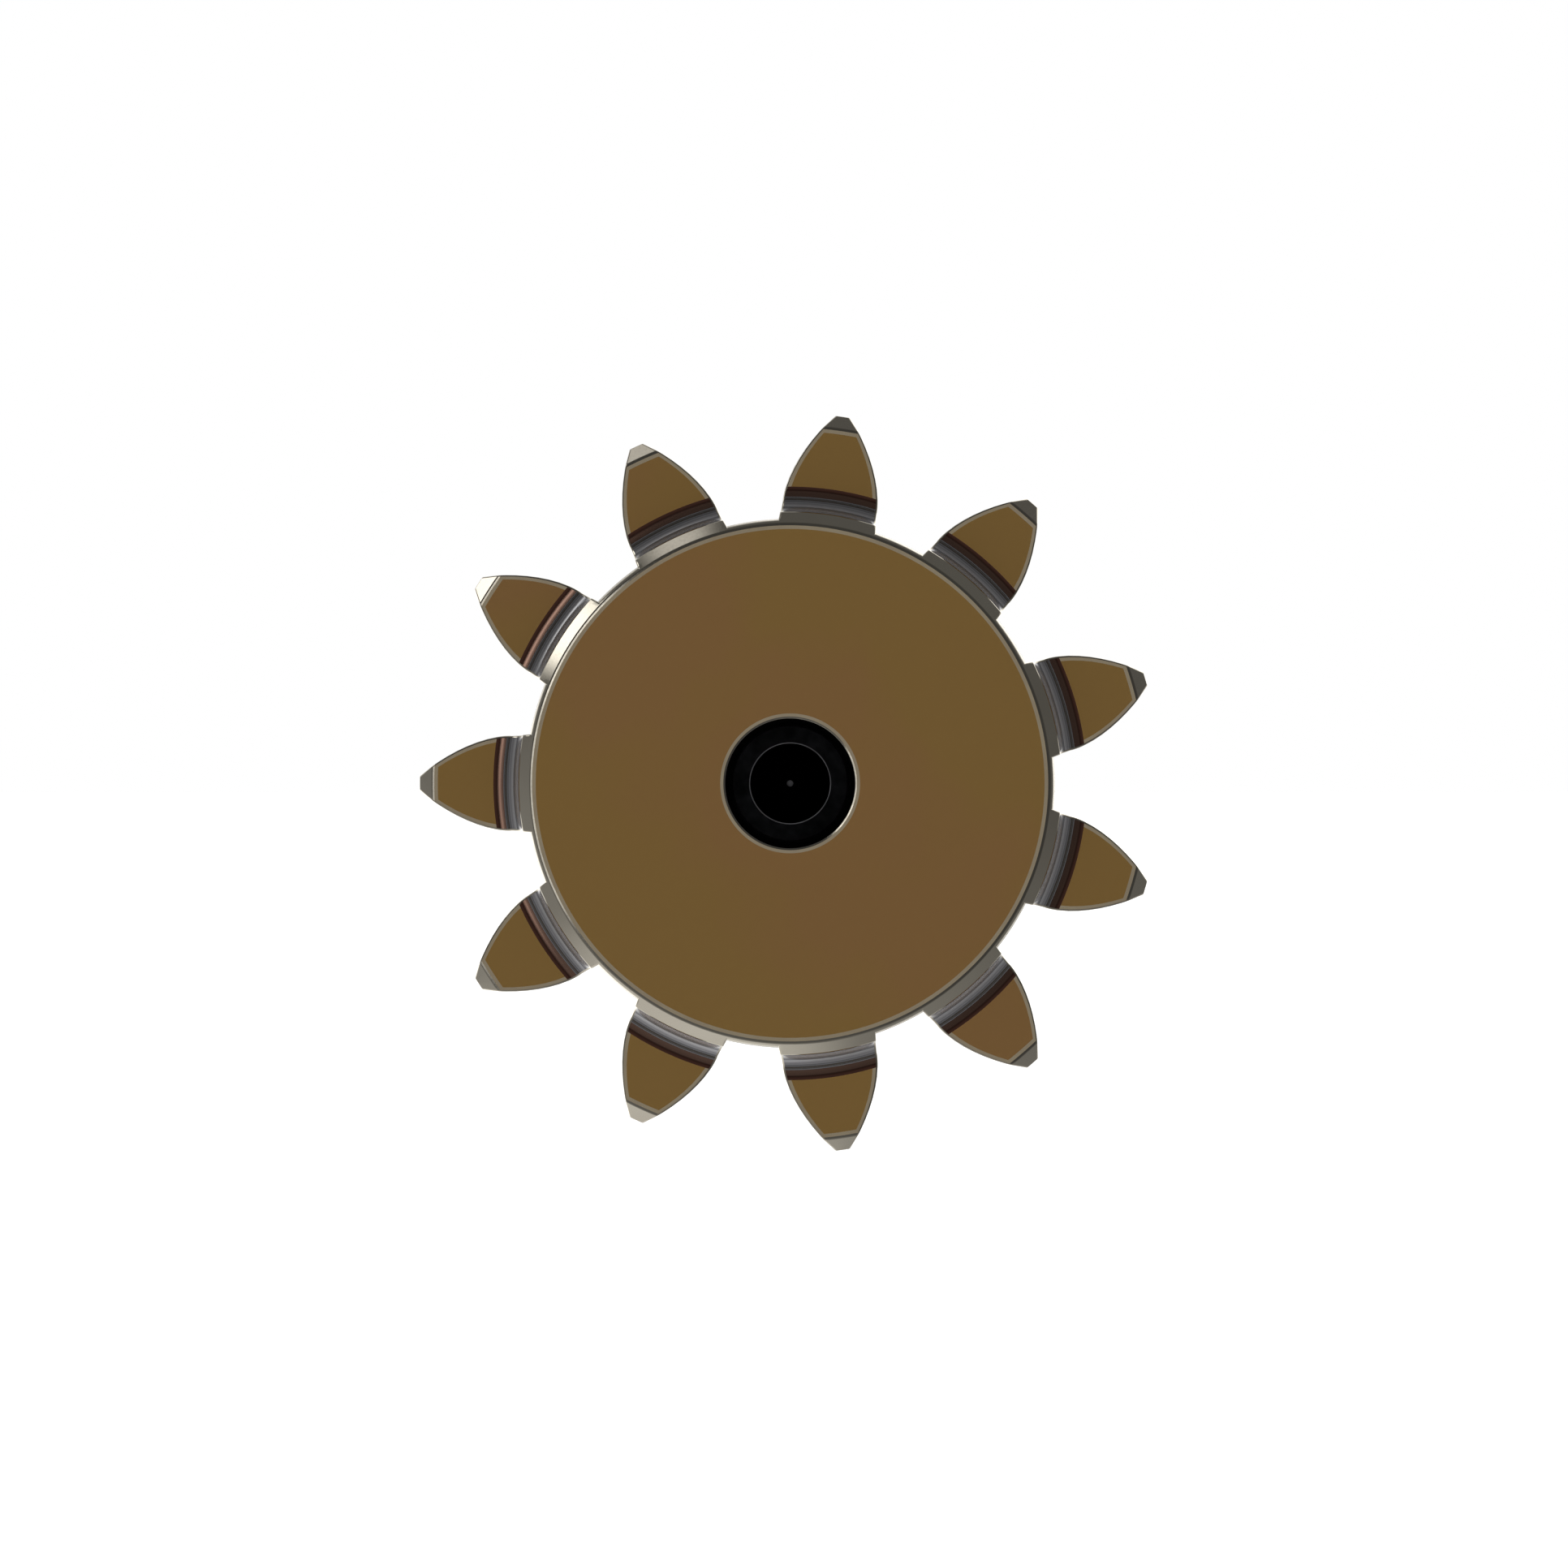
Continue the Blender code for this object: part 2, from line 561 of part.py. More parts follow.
def make_pinion_key(materials):
    bottom = KEY_FLOOR + SEAT_GAP
    flat("pinion_key", [rectangle(-KEY_WIDTH / 2, KEY_WIDTH / 2, bottom, bottom + KEY_HEIGHT)],
         KEY_BOTTOM + SEAT_GAP, KEY_TOP - SEAT_GAP, materials["ground_steel"])


def make_output_pinion(materials):
    """Eleven tooth pinion: a turned blank, kept where the tooth outline is."""
    hub_edge = PINION_TOP - HUB_CHAMFER
    face_edge = PINION_TIP - PINION_CHAMFER
    seat = PINION_SEAT_RADIUS + SEAT_GAP
    seat_top = SHAFT_END + SEAT_GAP
    fillet_centre = (HUB_RADIUS + HUB_FILLET, TEETH_TOP + HUB_FILLET)
    profile = [(HUB_RADIUS - HUB_CHAMFER, PINION_TOP), (HUB_RADIUS, hub_edge)]
    profile += arc(fillet_centre, HUB_FILLET, 180.0, 270.0, 4)
    profile += [
        (face_edge, TEETH_TOP), (PINION_TIP, TEETH_TOP - PINION_CHAMFER),
        (PINION_TIP, TEETH_BOTTOM + PINION_CHAMFER), (face_edge, TEETH_BOTTOM),
        (REAR_HUB_RADIUS, TEETH_BOTTOM), (REAR_HUB_RADIUS, PINION_BOTTOM),
        (seat, PINION_BOTTOM), (seat, seat_top), (SCREW_HOLE_RADIUS, seat_top),
        (SCREW_HOLE_RADIUS, PINION_TOP)]
    pinion = turned("output_pinion", profile, materials["tempered_steel"], PINION_ROUND)
    cut_outline(pinion, "tooth_outline", pinion_outline(), PINION_BOTTOM - CUT_MARGIN,
                PINION_TOP + CUT_MARGIN, "INTERSECT")
    half = KEY_WIDTH / 2 + SEAT_GAP
    keyway = rectangle(-half, half, KEY_FLOOR, KEY_FLOOR + KEY_HEIGHT + KEY_ROOF_GAP)
    cut_outline(pinion, "pinion_keyway", keyway, PINION_BOTTOM - CUT_MARGIN, seat_top - SHAFT_CHAMFER)


def make_carrier_plate(materials):
    """Plate on the shaft's flatted spigot, with a press hole for each planet's pin."""
    flat_reach = SPIGOT_FLAT + SEAT_GAP
    hole_radius = SPIGOT_RADIUS + SEAT_GAP
    corner = math.degrees(math.asin(flat_reach / hole_radius))
    spigot_hole = (arc((0.0, 0.0), hole_radius, -corner, corner, 9)
                   + arc((0.0, 0.0), hole_radius, 180.0 - corner, 180.0 + corner, 9))
    pin_holes = [circle(PIN_RADIUS + SEAT_GAP, SMALL_ROUND, polar(PLANET_CIRCLE, angle))
                 for angle in PLANET_ANGLES]
    outlines = [circle(CARRIER_RADIUS, ROUND), spigot_hole] + pin_holes
    flat("carrier_plate", outlines, CARRIER_BOTTOM, CARRIER_TOP, materials["ground_steel"])


# ==== planetary stage ================================================================================
def make_planet(number, angle, materials):
    """One planet gear with its bush, pin, thrust washers and snap ring."""
    centre = polar(PLANET_CIRCLE, angle)
    tooth = angle + 180.0 / PLANET_TEETH
    bore = circle(BUSH_RADIUS + SEAT_GAP, SMALL_ROUND)
    flat("planet_gear_%d" % number, [stage_outline(PLANET_TEETH, tooth), bore],
         PLANET_BOTTOM, PLANET_TOP, materials["ground_steel"], centre)
    inside = PIN_RADIUS + RUN_GAP
    rings = (("planet_bush_%d", BUSH_RADIUS, PLANET_BOTTOM, PLANET_TOP),
             ("planet_washer_front_%d", WASHER_RADIUS, PLANET_TOP + RUN_GAP,
              PLANET_TOP + RUN_GAP + WASHER_THICK),
             ("planet_washer_rear_%d", WASHER_RADIUS, PLANET_BOTTOM - RUN_GAP - WASHER_THICK,
              PLANET_BOTTOM - RUN_GAP))
    for name, outside, bottom, top in rings:
        turned(name % number, [(outside, top), (outside, bottom), (inside, bottom), (inside, top)],
               materials["bronze"], SMALL_ROUND, centre=centre)
    make_planet_pin(number, centre, materials)


def make_planet_pin(number, centre, materials):
    clip_top = PLANET_BOTTOM - RUN_GAP - WASHER_THICK - RUN_GAP
    clip_bottom = clip_top - CLIP_THICK
    groove = PIN_RADIUS - PIN_GROOVE_DEPTH
    profile = [(0.0, PIN_TOP), (PIN_RADIUS, PIN_TOP), (PIN_RADIUS, clip_top + SEAT_GAP),
               (groove, clip_top + SEAT_GAP), (groove, clip_bottom - SEAT_GAP),
               (PIN_RADIUS, clip_bottom - SEAT_GAP), (PIN_RADIUS, PIN_BOTTOM + PIN_CHAMFER),
               (PIN_RADIUS - PIN_CHAMFER, PIN_BOTTOM), (0.0, PIN_BOTTOM)]
    turned("planet_pin_%d" % number, profile, materials["ground_steel"], SMALL_ROUND, closed=False,
           centre=centre)
    facing = math.degrees(math.atan2(centre[1], centre[0]))
    ring = open_ring(groove + SEAT_GAP, PIN_RADIUS + PIN_CLIP_REACH, PIN_CLIP_OPENING, facing, SMALL_ROUND)
    flat("pin_clip_%d" % number, [ring], clip_bottom, clip_top, materials["black_oxide"], centre)


def make_sun_gear(materials):
    """Driven gear in the middle, with a hub that a grub screw clamps to the motor's shaft."""
    sun = flat("sun_gear", [stage_outline(SUN_TEETH, 0.0)], SUN_HUB_TOP - CUT_MARGIN, SUN_TOP,
               materials["ground_steel"])
    cut_outline(sun, "sun_hub", circle(SUN_HUB_RADIUS, ROUND), SUN_HUB_BOTTOM, SUN_HUB_TOP, "UNION")
    cut_outline(sun, "sun_bore", circle(SUN_BORE_RADIUS, SMALL_ROUND), SUN_HUB_BOTTOM - CUT_MARGIN,
                SUN_TOP + CUT_MARGIN)
    cut_round_across(sun, "grub_hole", GRUB_RADIUS + SEAT_GAP, GRUB_HEIGHT, 90.0,
                     SUN_BORE_RADIUS - CUT_MARGIN, SUN_HUB_RADIUS + CUT_MARGIN)
    make_grub_screw(materials)


def make_grub_screw(materials):
    """Grub screw that lies across the hub, pointing at the sun's bore."""
    start = SUN_BORE_RADIUS + 2 * SEAT_GAP
    end = SUN_HUB_RADIUS - GRUB_SINK
    mesh = rod_mesh("sun_grub_screw", GRUB_RADIUS, end - start)
    screw = new_object("sun_grub_screw", mesh, materials["black_oxide"])
    screw.location = (0.0, (start + end) / 2 * MM, GRUB_HEIGHT * MM)
    screw.rotation_euler = (0.0, math.radians(90.0), math.radians(90.0))


def make_thrust_washer(materials):
    bottom = SUN_TOP + RUN_GAP
    top = CARRIER_BOTTOM - RUN_GAP
    outside = PLANET_CIRCLE - STAGE_MODULE * (PLANET_TEETH / 2 + STAGE_ADDENDUM) - RUN_GAP
    inside = SUN_BORE_RADIUS + RUN_GAP
    turned("sun_thrust_washer", [(outside, top), (outside, bottom), (inside, bottom), (inside, top)],
           materials["bronze"])


def main():
    empty_scene()
    axis = bpy.data.objects.new("gear_axis", None)
    axis.rotation_euler = (math.radians(90.0), 0.0, 0.0)
    bpy.context.scene.collection.objects.link(axis)
    materials = make_materials()
    make_rear_flange(materials)
    make_ring_gear(materials)
    make_nose_housing(materials)
    make_case_screws(materials)
    make_oil_seal(materials)
    make_bearing("front", FRONT_BEARING, materials)
    make_bearing("rear", REAR_BEARING, materials)
    make_spacers(materials)
    make_circlips(materials)
    make_output_shaft(materials)
    make_pinion_key(materials)
    make_output_pinion(materials)
    make_carrier_plate(materials)
    for index, angle in enumerate(PLANET_ANGLES):
        make_planet(index + 1, angle, materials)
    make_sun_gear(materials)
    make_thrust_washer(materials)


main()
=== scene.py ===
"""The looks of the planetary gear unit: a fine mesh and a finish for every piece.

Lengths are millimetres until they reach Blender. A place on the unit is its distance from the
gear axis, its angle round that axis seen from the pinion's end, and its height above the rear
mounting face.
"""
import math

import bmesh
import bpy
from mathutils import Matrix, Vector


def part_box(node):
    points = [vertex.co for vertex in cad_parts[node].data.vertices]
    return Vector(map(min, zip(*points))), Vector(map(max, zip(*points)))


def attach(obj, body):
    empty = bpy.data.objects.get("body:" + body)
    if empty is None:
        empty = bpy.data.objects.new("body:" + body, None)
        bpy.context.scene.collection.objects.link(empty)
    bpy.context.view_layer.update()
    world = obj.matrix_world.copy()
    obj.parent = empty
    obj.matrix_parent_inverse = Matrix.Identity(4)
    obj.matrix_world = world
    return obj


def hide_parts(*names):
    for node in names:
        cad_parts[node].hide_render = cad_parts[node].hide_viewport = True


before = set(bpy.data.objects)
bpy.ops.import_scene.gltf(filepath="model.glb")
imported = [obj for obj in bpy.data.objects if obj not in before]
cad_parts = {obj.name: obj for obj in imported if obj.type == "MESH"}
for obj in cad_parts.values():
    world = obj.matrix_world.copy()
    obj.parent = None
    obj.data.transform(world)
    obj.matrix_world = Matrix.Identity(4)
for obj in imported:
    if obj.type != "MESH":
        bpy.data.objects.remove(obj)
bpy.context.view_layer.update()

MM = 0.001
SHARP = math.radians(34.0)    # edges that turn more than this are drawn as edges
SMOOTH_TURN = math.radians(36.0)    # corners of a profile that turn more than this are rounded

# ---- pinion ----
TEETH = 11
PITCH = 22.0
PRESSURE = math.radians(20.0)
BASE = PITCH * math.cos(PRESSURE)
THICKNESS = 6.77              # of a tooth on the pitch circle
FIRST_TOOTH = 180.0
TIP = 27.4
ROOT = 19.0
ROOT_HALF = 3.52              # half the tooth's width at the root
FRONT = 114.0                 # the teeth's front faces
BACK = 86.0
HUB_FRONT = 117.5
HUB_RADIUS = 19.57
HUB_CHAMFER = 0.97
FILLET = 2.2
TIP_CHAMFER = 1.15
TIP_LAND = 1.1                # width of a tooth at its tip
BAND = 0.26                   # rim left round each tempered face, painted lighter as a highlight
EDGE_ROUND = 0.15             # radius of the broken edges along the flanks
EDGE_SLOPE = math.radians(12.5)     # flat where each end face meets its chamfer
BORE_SLOPE = math.radians(18.0)     # the same round the screw's hole
FADE = 0.66                   # how far the temper film reaches into the fillet
SCREW_HOLE = 4.64
SEAT = 8.1                    # bore that takes the shaft
SEAT_TOP = 98.9
REAR_HUB = 18.0
REAR_HUB_END = 83.0

# ---- casing and shaft ----
CASE = 30.0
CASE_SCREW = 1.5
KNURLS = 36                   # round a case screw's head
SHAFT = 10.0                  # where the bearings sit

# ---- planetary stage ----
STAGE_MODULE = 1.25
STAGE_PRESSURE = math.radians(25.0)
BACKLASH = 0.05
PLANET_CIRCLE = 15.0
PLANET_ANGLES = (90.0, 210.0, 330.0)
GRUB = 1.5                    # the screw that clamps the sun
GRUB_HEIGHT = 8.0

# ---- bearings ----
BALLS = 8
BALL_RADIUS = 2.75
BALL_CIRCLE = 14.25
INNER_LAND = 12.3
OUTER_LAND = 16.2
BEARING_BORE = 10.1
BEARING_OUTSIDE = 18.45


# ==== placing ====
def place(radius, angle, height, centre=(0.0, 0.0)):
    """A point of the row frame from its place on the unit."""
    turn = math.radians(angle)
    x = centre[0] + radius * math.cos(turn)
    z = centre[1] + radius * math.sin(turn)
    return (x * MM, -height * MM, z * MM)


def polar(radius, angle):
    turn = math.radians(angle)
    return (radius * math.cos(turn), radius * math.sin(turn))


CASE_SCREWS = [polar(27.0, 45.0 + 90.0 * number) for number in range(4)]


def spaced(start, end, count):
    return [start + (end - start) * i / (count - 1) for i in range(count)]


def arc(centre, radius, start, end, count):
    points = [polar(radius, angle) for angle in spaced(start, end, count)]
    return [(centre[0] + x, centre[1] + y) for x, y in points]


def heights(node):
    """Lowest and highest height of a CAD node above the rear mounting face."""
    low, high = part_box(node)
    return -high[1] / MM, -low[1] / MM


def add_object(name, data):
    item = bpy.data.objects.new(name, data)
    bpy.context.scene.collection.objects.link(item)
    return item


def evaluated_mesh(item):
    """The mesh that a curve makes, or that an object's modifiers leave."""
    graph = bpy.context.evaluated_depsgraph_get()
    return bpy.data.meshes.new_from_object(item.evaluated_get(graph))


def apply_modifiers(piece):
    result = evaluated_mesh(piece)
    piece.modifiers.clear()
    piece.data = result


def finish_piece(piece, body, nodes, slot):
    """Hand a piece over; large faces set the shading beside them, so eased edges keep flats flat.

    The pinion's strips are already kept apart by their finishes.
    """
    if slot != "tempered_steel":
        piece.modifiers.new("weighing", "WEIGHTED_NORMAL").keep_sharp = True
        apply_modifiers(piece)
    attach(piece, body)
    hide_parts(*nodes)


def shade(mesh):
    """Smooth shading, with an edge where the surface turns or its material changes."""
    shape = bmesh.new()
    shape.from_mesh(mesh)
    for face in shape.faces:
        face.smooth = True
    for edge in shape.edges:
        if len(edge.link_faces) == 2:
            first, second = edge.link_faces
            same = first.material_index == second.material_index
            edge.smooth = same and edge.calc_face_angle(0.0) < SHARP
    shape.to_mesh(mesh)
    shape.free()


def link_mesh(name, shape, materials):
    bmesh.ops.recalc_face_normals(shape, faces=shape.faces)
    mesh = bpy.data.meshes.new(name)
    shape.to_mesh(mesh)
    shape.free()
    for material in materials:
        mesh.materials.append(material)
    piece = add_object(name, mesh)
    shade(mesh)
    return piece


# ==== materials ====
MATERIALS = {}


def set_inputs(node, values):
    for name, value in values.items():
        node.inputs[name].default_value = value


def new_node(tree, kind, values):
    """A shader node of a kind, with values for some of its inputs."""
    node = tree.nodes.new("ShaderNode" + kind)
    set_inputs(node, values)
    return node


def new_material(name, colour, metallic, roughness):
    """Add a Principled material to MATERIALS; gives its node tree and its shader."""
    material = bpy.data.materials.new(name)
    material.use_nodes = True
    tree = material.node_tree
    shader = tree.nodes["Principled BSDF"]
    set_inputs(shader, {"Base Color": (*colour, 1.0), "Metallic": metallic, "Roughness": roughness})
    MATERIALS[name] = material
    return tree, shader


def object_coordinates(tree, scale=(1.0, 1.0, 1.0)):
    """Coordinates fixed to the piece, in millimetres times scale."""
    source = tree.nodes.new("ShaderNodeTexCoord")
    mapping = new_node(tree, "Mapping", {"Scale": tuple(s / MM for s in scale)})
    tree.links.new(source.outputs["Object"], mapping.inputs["Vector"])
    return mapping.outputs["Vector"]


def noise(tree, vector, scale, detail=3.0, roughness=0.5):
    node = new_node(tree, "TexNoise", {"Scale": scale, "Detail": detail, "Roughness": roughness})
    tree.links.new(vector, node.inputs["Vector"])
    return node.outputs["Fac"]


def mapped(tree, value, low, high, from_low=0.3, from_high=0.7):
    node = new_node(tree, "MapRange", {"From Min": from_low, "From Max": from_high,
                                       "To Min": low, "To Max": high})
    tree.links.new(value, node.inputs["Value"])
    return node.outputs["Result"]


def bump(tree, shader, value, depth):
    """Raise the surface by value times depth millimetres."""
    node = new_node(tree, "Bump", {"Distance": depth * MM, "Strength": 1.0})
    tree.links.new(value, node.inputs["Height"])
    normal = shader.inputs["Normal"]
    if normal.links:
        tree.links.new(normal.links[0].from_socket, node.inputs["Normal"])
    tree.links.new(node.outputs["Normal"], normal)


def coloured(tree, shader, value, stops):
    """Colour the surface by a value; stops are (value, (r, g, b))."""
    node = tree.nodes.new("ShaderNodeValToRGB")
    elements = node.color_ramp.elements
    while len(elements) < len(stops):
        elements.new(0.5)
    for element, (position, colour) in zip(elements, stops):
        element.position = position
        element.color = (*colour, 1.0)
    tree.links.new(value, node.inputs["Fac"])
    tree.links.new(node.outputs["Color"], shader.inputs["Base Color"])


def roughened(tree, shader, value, low, high):
    tree.links.new(mapped(tree, value, low, high), shader.inputs["Roughness"])


def mottled(tree, shader, vector, colour, darker, scale):
    """Slow colour variation between the colour and a darker one."""
    coloured(tree, shader, noise(tree, vector, scale, 4.0), ((0.35, darker), (0.65, colour)))


def calculated(tree, operation, *values):
    node = tree.nodes.new("ShaderNodeMath")
    node.operation = operation
    for socket, value in zip(node.inputs, values):
        tree.links.new(value, socket)
    return node.outputs["Value"]


def added(tree, first, second):
    return calculated(tree, "ADD", first, second)


def component(tree, vector, axis):
    node = tree.nodes.new("ShaderNodeSeparateXYZ")
    tree.links.new(vector, node.inputs["Vector"])
    return node.outputs[axis]


def along(tree, vector, direction):
    """How far a vector reaches in a direction."""
    node = tree.nodes.new("ShaderNodeVectorMath")
    node.operation = "DOT_PRODUCT"
    node.inputs[1].default_value = direction
    tree.links.new(vector, node.inputs[0])
    return node.outputs["Value"]


def axis_distance(tree):
    """Distance from the gear axis in millimetres."""
    vector = object_coordinates(tree)
    x, z = component(tree, vector, "X"), component(tree, vector, "Z")
    square = calculated(tree, "MULTIPLY", x, x)
    return calculated(tree, "SQRT", calculated(tree, "MULTIPLY_ADD", z, z, square))


def rings(tree, distance, scale, detail=2.0):
    """Noise that changes with the distance from the axis only."""
    node = tree.nodes.new("ShaderNodeTexNoise")
    node.noise_dimensions = "1D"
    set_inputs(node, {"Scale": scale, "Detail": detail})
    tree.links.new(distance, node.inputs["W"])
    return node.outputs["Fac"]


def diagonal(tree):
    """Distance in millimetres from the plane that falls from the upper left to the lower right."""
    across = along(tree, object_coordinates(tree), (math.sqrt(0.5), 0.0, math.sqrt(0.5)))
    return calculated(tree, "ABSOLUTE", across)


def tempered_face():
    """Ground end faces under a brown temper film. Their colour is redder near a diagonal from the upper
    left to the lower right and olive further from it.
    """
    tree, shader = new_material("tempered_face", (0.3, 0.17, 0.055), 0.6, 0.22)
    vector = object_coordinates(tree)
    patches = mapped(tree, noise(tree, vector, 0.12, 2.0), -0.35, 0.35)
    # redder near the diagonal, olive further from it, with slow patches
    film = added(tree, mapped(tree, diagonal(tree), 0.0, 1.0, 3.0, 13.0), patches)
    coloured(tree, shader, film, ((0.15, (0.286, 0.155, 0.051)), (0.7, (0.282, 0.164, 0.045))))
    grain = noise(tree, vector, 9.0, 2.0)
    roughened(tree, shader, grain, 0.19, 0.26)
    bump(tree, shader, grain, 0.0006)


def temper_edge_and_shade():
    """Where the film runs out in the fillet, paler further in. The dark red next to the face is painted
    shade.
    """
    tree, shader = new_material("temper_edge_and_shade", (0.3, 0.17, 0.12), 1.0, 0.2)
    distance = axis_distance(tree)
    end = HUB_RADIUS + FILLET
    stretch = mapped(tree, distance, 0.0, 1.0, end - FADE, end)
    uneven = added(tree, stretch, mapped(tree, rings(tree, distance, 3.0), -0.08, 0.08))
    # the dark stop, next to the face, is painted shade
    coloured(tree, shader, uneven, ((0.42, (0.4, 0.24, 0.18)), (0.66, (0.12, 0.055, 0.04))))


def polished_steel():
    """Ground flanks and chamfers, with very fine scratches along the teeth."""
    tree, shader = new_material("polished_steel", (0.62, 0.57, 0.47), 1.0, 0.14)
    scratches = noise(tree, object_coordinates(tree, (1.0, 0.06, 1.0)), 6.0)
    roughened(tree, shader, scratches, 0.11, 0.18)
    bump(tree, shader, scratches, 0.0006)
    mottled(tree, shader, object_coordinates(tree), (0.63, 0.585, 0.485), (0.58, 0.53, 0.44), 0.12)


def fillet_steel_painted_light():
    """Turned fillet round the hub with tool marks raised by a bump. Its colour is painted shade, nearly
    black, at its foot and painted highlights, bright stripes, higher up.
    """
    tree, shader = new_material("fillet_steel_painted_light", (0.2, 0.2, 0.2), 0.72, 0.16)
    distance = axis_distance(tree)
    # this noise raises the tool marks and also places the painted highlight stripes
    marks = rings(tree, distance, 4.5)
    rise = mapped(tree, distance, 0.0, 1.0, HUB_RADIUS + FILLET - FADE, HUB_RADIUS)
    # painted shade at the foot, painted highlights in stripes higher up
    stops = ((0.05, (0.1, 0.085, 0.07)), (0.3, (0.2, 0.2, 0.21)), (0.5, (0.34, 0.33, 0.34)),
             (0.62, (0.45, 0.44, 0.44)), (0.72, (0.3, 0.3, 0.31)), (0.9, (0.55, 0.54, 0.54)))
    coloured(tree, shader, added(tree, rise, mapped(tree, marks, -0.3, 0.3)), stops)
    bump(tree, shader, marks, 0.003)


def patchy(name, colour, metallic, roughness, lighter, darker, scale):
    """Finish that only varies slowly in colour."""
    tree, shader = new_material(name, colour, metallic, roughness)
    mottled(tree, shader, object_coordinates(tree), lighter, darker, scale)


def black_oxide():
    """Blued steel: nearly black, a little glossy with oil, duller in patches."""
    tree, shader = new_material("black_oxide", (0.02, 0.02, 0.022), 0.8, 0.38)
    vector = object_coordinates(tree)
    mottled(tree, shader, vector, (0.022, 0.022, 0.025), (0.01, 0.01, 0.011), 0.5)
    roughened(tree, shader, noise(tree, vector, 1.4), 0.3, 0.5)
    bump(tree, shader, noise(tree, vector, 5.0), 0.004)


def ring_steel():
    """Turned and lightly oiled outside of the ring gear: its tool marks vary along the axis only."""
    tree, shader = new_material("ring_steel", (0.52, 0.51, 0.49), 1.0, 0.3)
    lines = noise(tree, object_coordinates(tree, (0.02, 1.0, 0.02)), 5.0, 2.0)
    bump(tree, shader, lines, 0.006)
    roughened(tree, shader, lines, 0.22, 0.38)
    mottled(tree, shader, object_coordinates(tree), (0.54, 0.53, 0.51), (0.46, 0.45, 0.42), 0.08)


def ground_metal(name, colour, roughness):
    """Finely ground metal, a little darker in slow patches."""
    tree, shader = new_material(name, colour, 1.0, roughness)
    vector = object_coordinates(tree)
    fine = noise(tree, vector, 4.0)
    roughened(tree, shader, fine, roughness * 0.8, roughness * 1.25)
    bump(tree, shader, fine, 0.002)
    mottled(tree, shader, vector, colour, tuple(c * 0.86 for c in colour), 0.15)


def blasted_aluminium():
    """Machined, then bead blasted: pale, even and finely pitted."""
    tree, shader = new_material("blasted_aluminium", (0.56, 0.57, 0.58), 1.0, 0.42)
    vector = object_coordinates(tree)
    pits = noise(tree, vector, 3.2, 4.0, 0.6)
    roughened(tree, shader, pits, 0.36, 0.5)
    bump(tree, shader, pits, 0.012)
    mottled(tree, shader, vector, (0.58, 0.59, 0.6), (0.5, 0.51, 0.52), 0.07)


def bronze():
    """Sintered bearing bronze, speckled with oil-filled pores."""
    tree, shader = new_material("bronze", (0.5, 0.28, 0.12), 1.0, 0.38)
    pores = noise(tree, object_coordinates(tree), 6.0, 2.0, 0.7)
    stops = ((0.38, (0.22, 0.11, 0.05)), (0.46, (0.5, 0.28, 0.12)), (0.7, (0.58, 0.34, 0.16)))
    coloured(tree, shader, pores, stops)
    bump(tree, shader, pores, 0.006)


def rubber():
    """Moulded nitrile rubber, dull, with a soft grey bloom."""
    tree, shader = new_material("nitrile_rubber", (0.02, 0.02, 0.02), 0.0, 0.62)
    vector = object_coordinates(tree)
    mottled(tree, shader, vector, (0.03, 0.03, 0.031), (0.014, 0.014, 0.015), 0.4)
    bump(tree, shader, noise(tree, vector, 3.0, 4.0), 0.01)


for make_finish in (tempered_face, temper_edge_and_shade, polished_steel, fillet_steel_painted_light, black_oxide,
                    ring_steel, blasted_aluminium, bronze, rubber):
    make_finish()
# rim round the edges of a face, painted lighter as a highlight that a bevel would catch
patchy("rim_painted_highlight", (0.6, 0.5, 0.35), 1.0, 0.2, (0.62, 0.52, 0.36), (0.57, 0.47, 0.33), 0.6)
# inside of the screw's hole, painted near black as shade
patchy("bore_painted_shade", (0.012,) * 3, 0.9, 0.5, (0.014,) * 3, (0.008,) * 3, 0.6)
# grey ring and dot on the shaft's end, painted highlights on the hole's mouth and the drill point
patchy("grey_painted_highlight", (0.42, 0.42, 0.43), 1.0, 0.3, (0.5, 0.5, 0.52), (0.32, 0.32, 0.33), 0.8)
ground_metal("ground_steel", (0.56, 0.55, 0.53), 0.26)
ground_metal("gear_steel", (0.46, 0.45, 0.43), 0.24)
ground_metal("bearing_steel", (0.7, 0.7, 0.7), 0.12)
ground_metal("spring_steel", (0.07, 0.07, 0.075), 0.4)
ground_metal("brass", (0.65, 0.45, 0.18), 0.28)


# ==== mesh building ====
def bridge(shape, first, second, material=0, closed=False):
    """Quads between two rows of vertices."""
    count = len(first)
    for i in range(count if closed else count - 1):
        j = (i + 1) % count
        corners = [first[i], first[j], second[j], second[i]]
        unlike = [vertex for n, vertex in enumerate(corners) if vertex not in corners[:n]]
        if len(unlike) > 2:
            shape.faces.new(unlike).material_index = material


def heading(start, end):
    return math.atan2(end[1] - start[1], end[0] - start[0])


def turn_between(first, second):
    """Signed angle from one heading to another, the short way round."""
    return (second - first + math.pi) % (2 * math.pi) - math.pi


def rounded(before, corner, after, radius, steps=3):
    """Points of the arc that rounds off a corner of a profile."""
    back = heading(corner, before)
    spread = turn_between(back, heading(corner, after))
    half = abs(spread) / 2
    room = min(math.dist(before, corner), math.dist(corner, after)) * 0.45
    radius = min(radius, room * math.tan(half))
    middle = back + spread / 2
    away = radius / math.sin(half)
    centre = (corner[0] + away * math.cos(middle), corner[1] + away * math.sin(middle))
    sweep = math.degrees(math.pi / 2 - half) * (1 if spread > 0 else -1)
    facing = math.degrees(middle) + 180.0
    return arc(centre, radius, facing + sweep, facing - sweep, steps + 1)


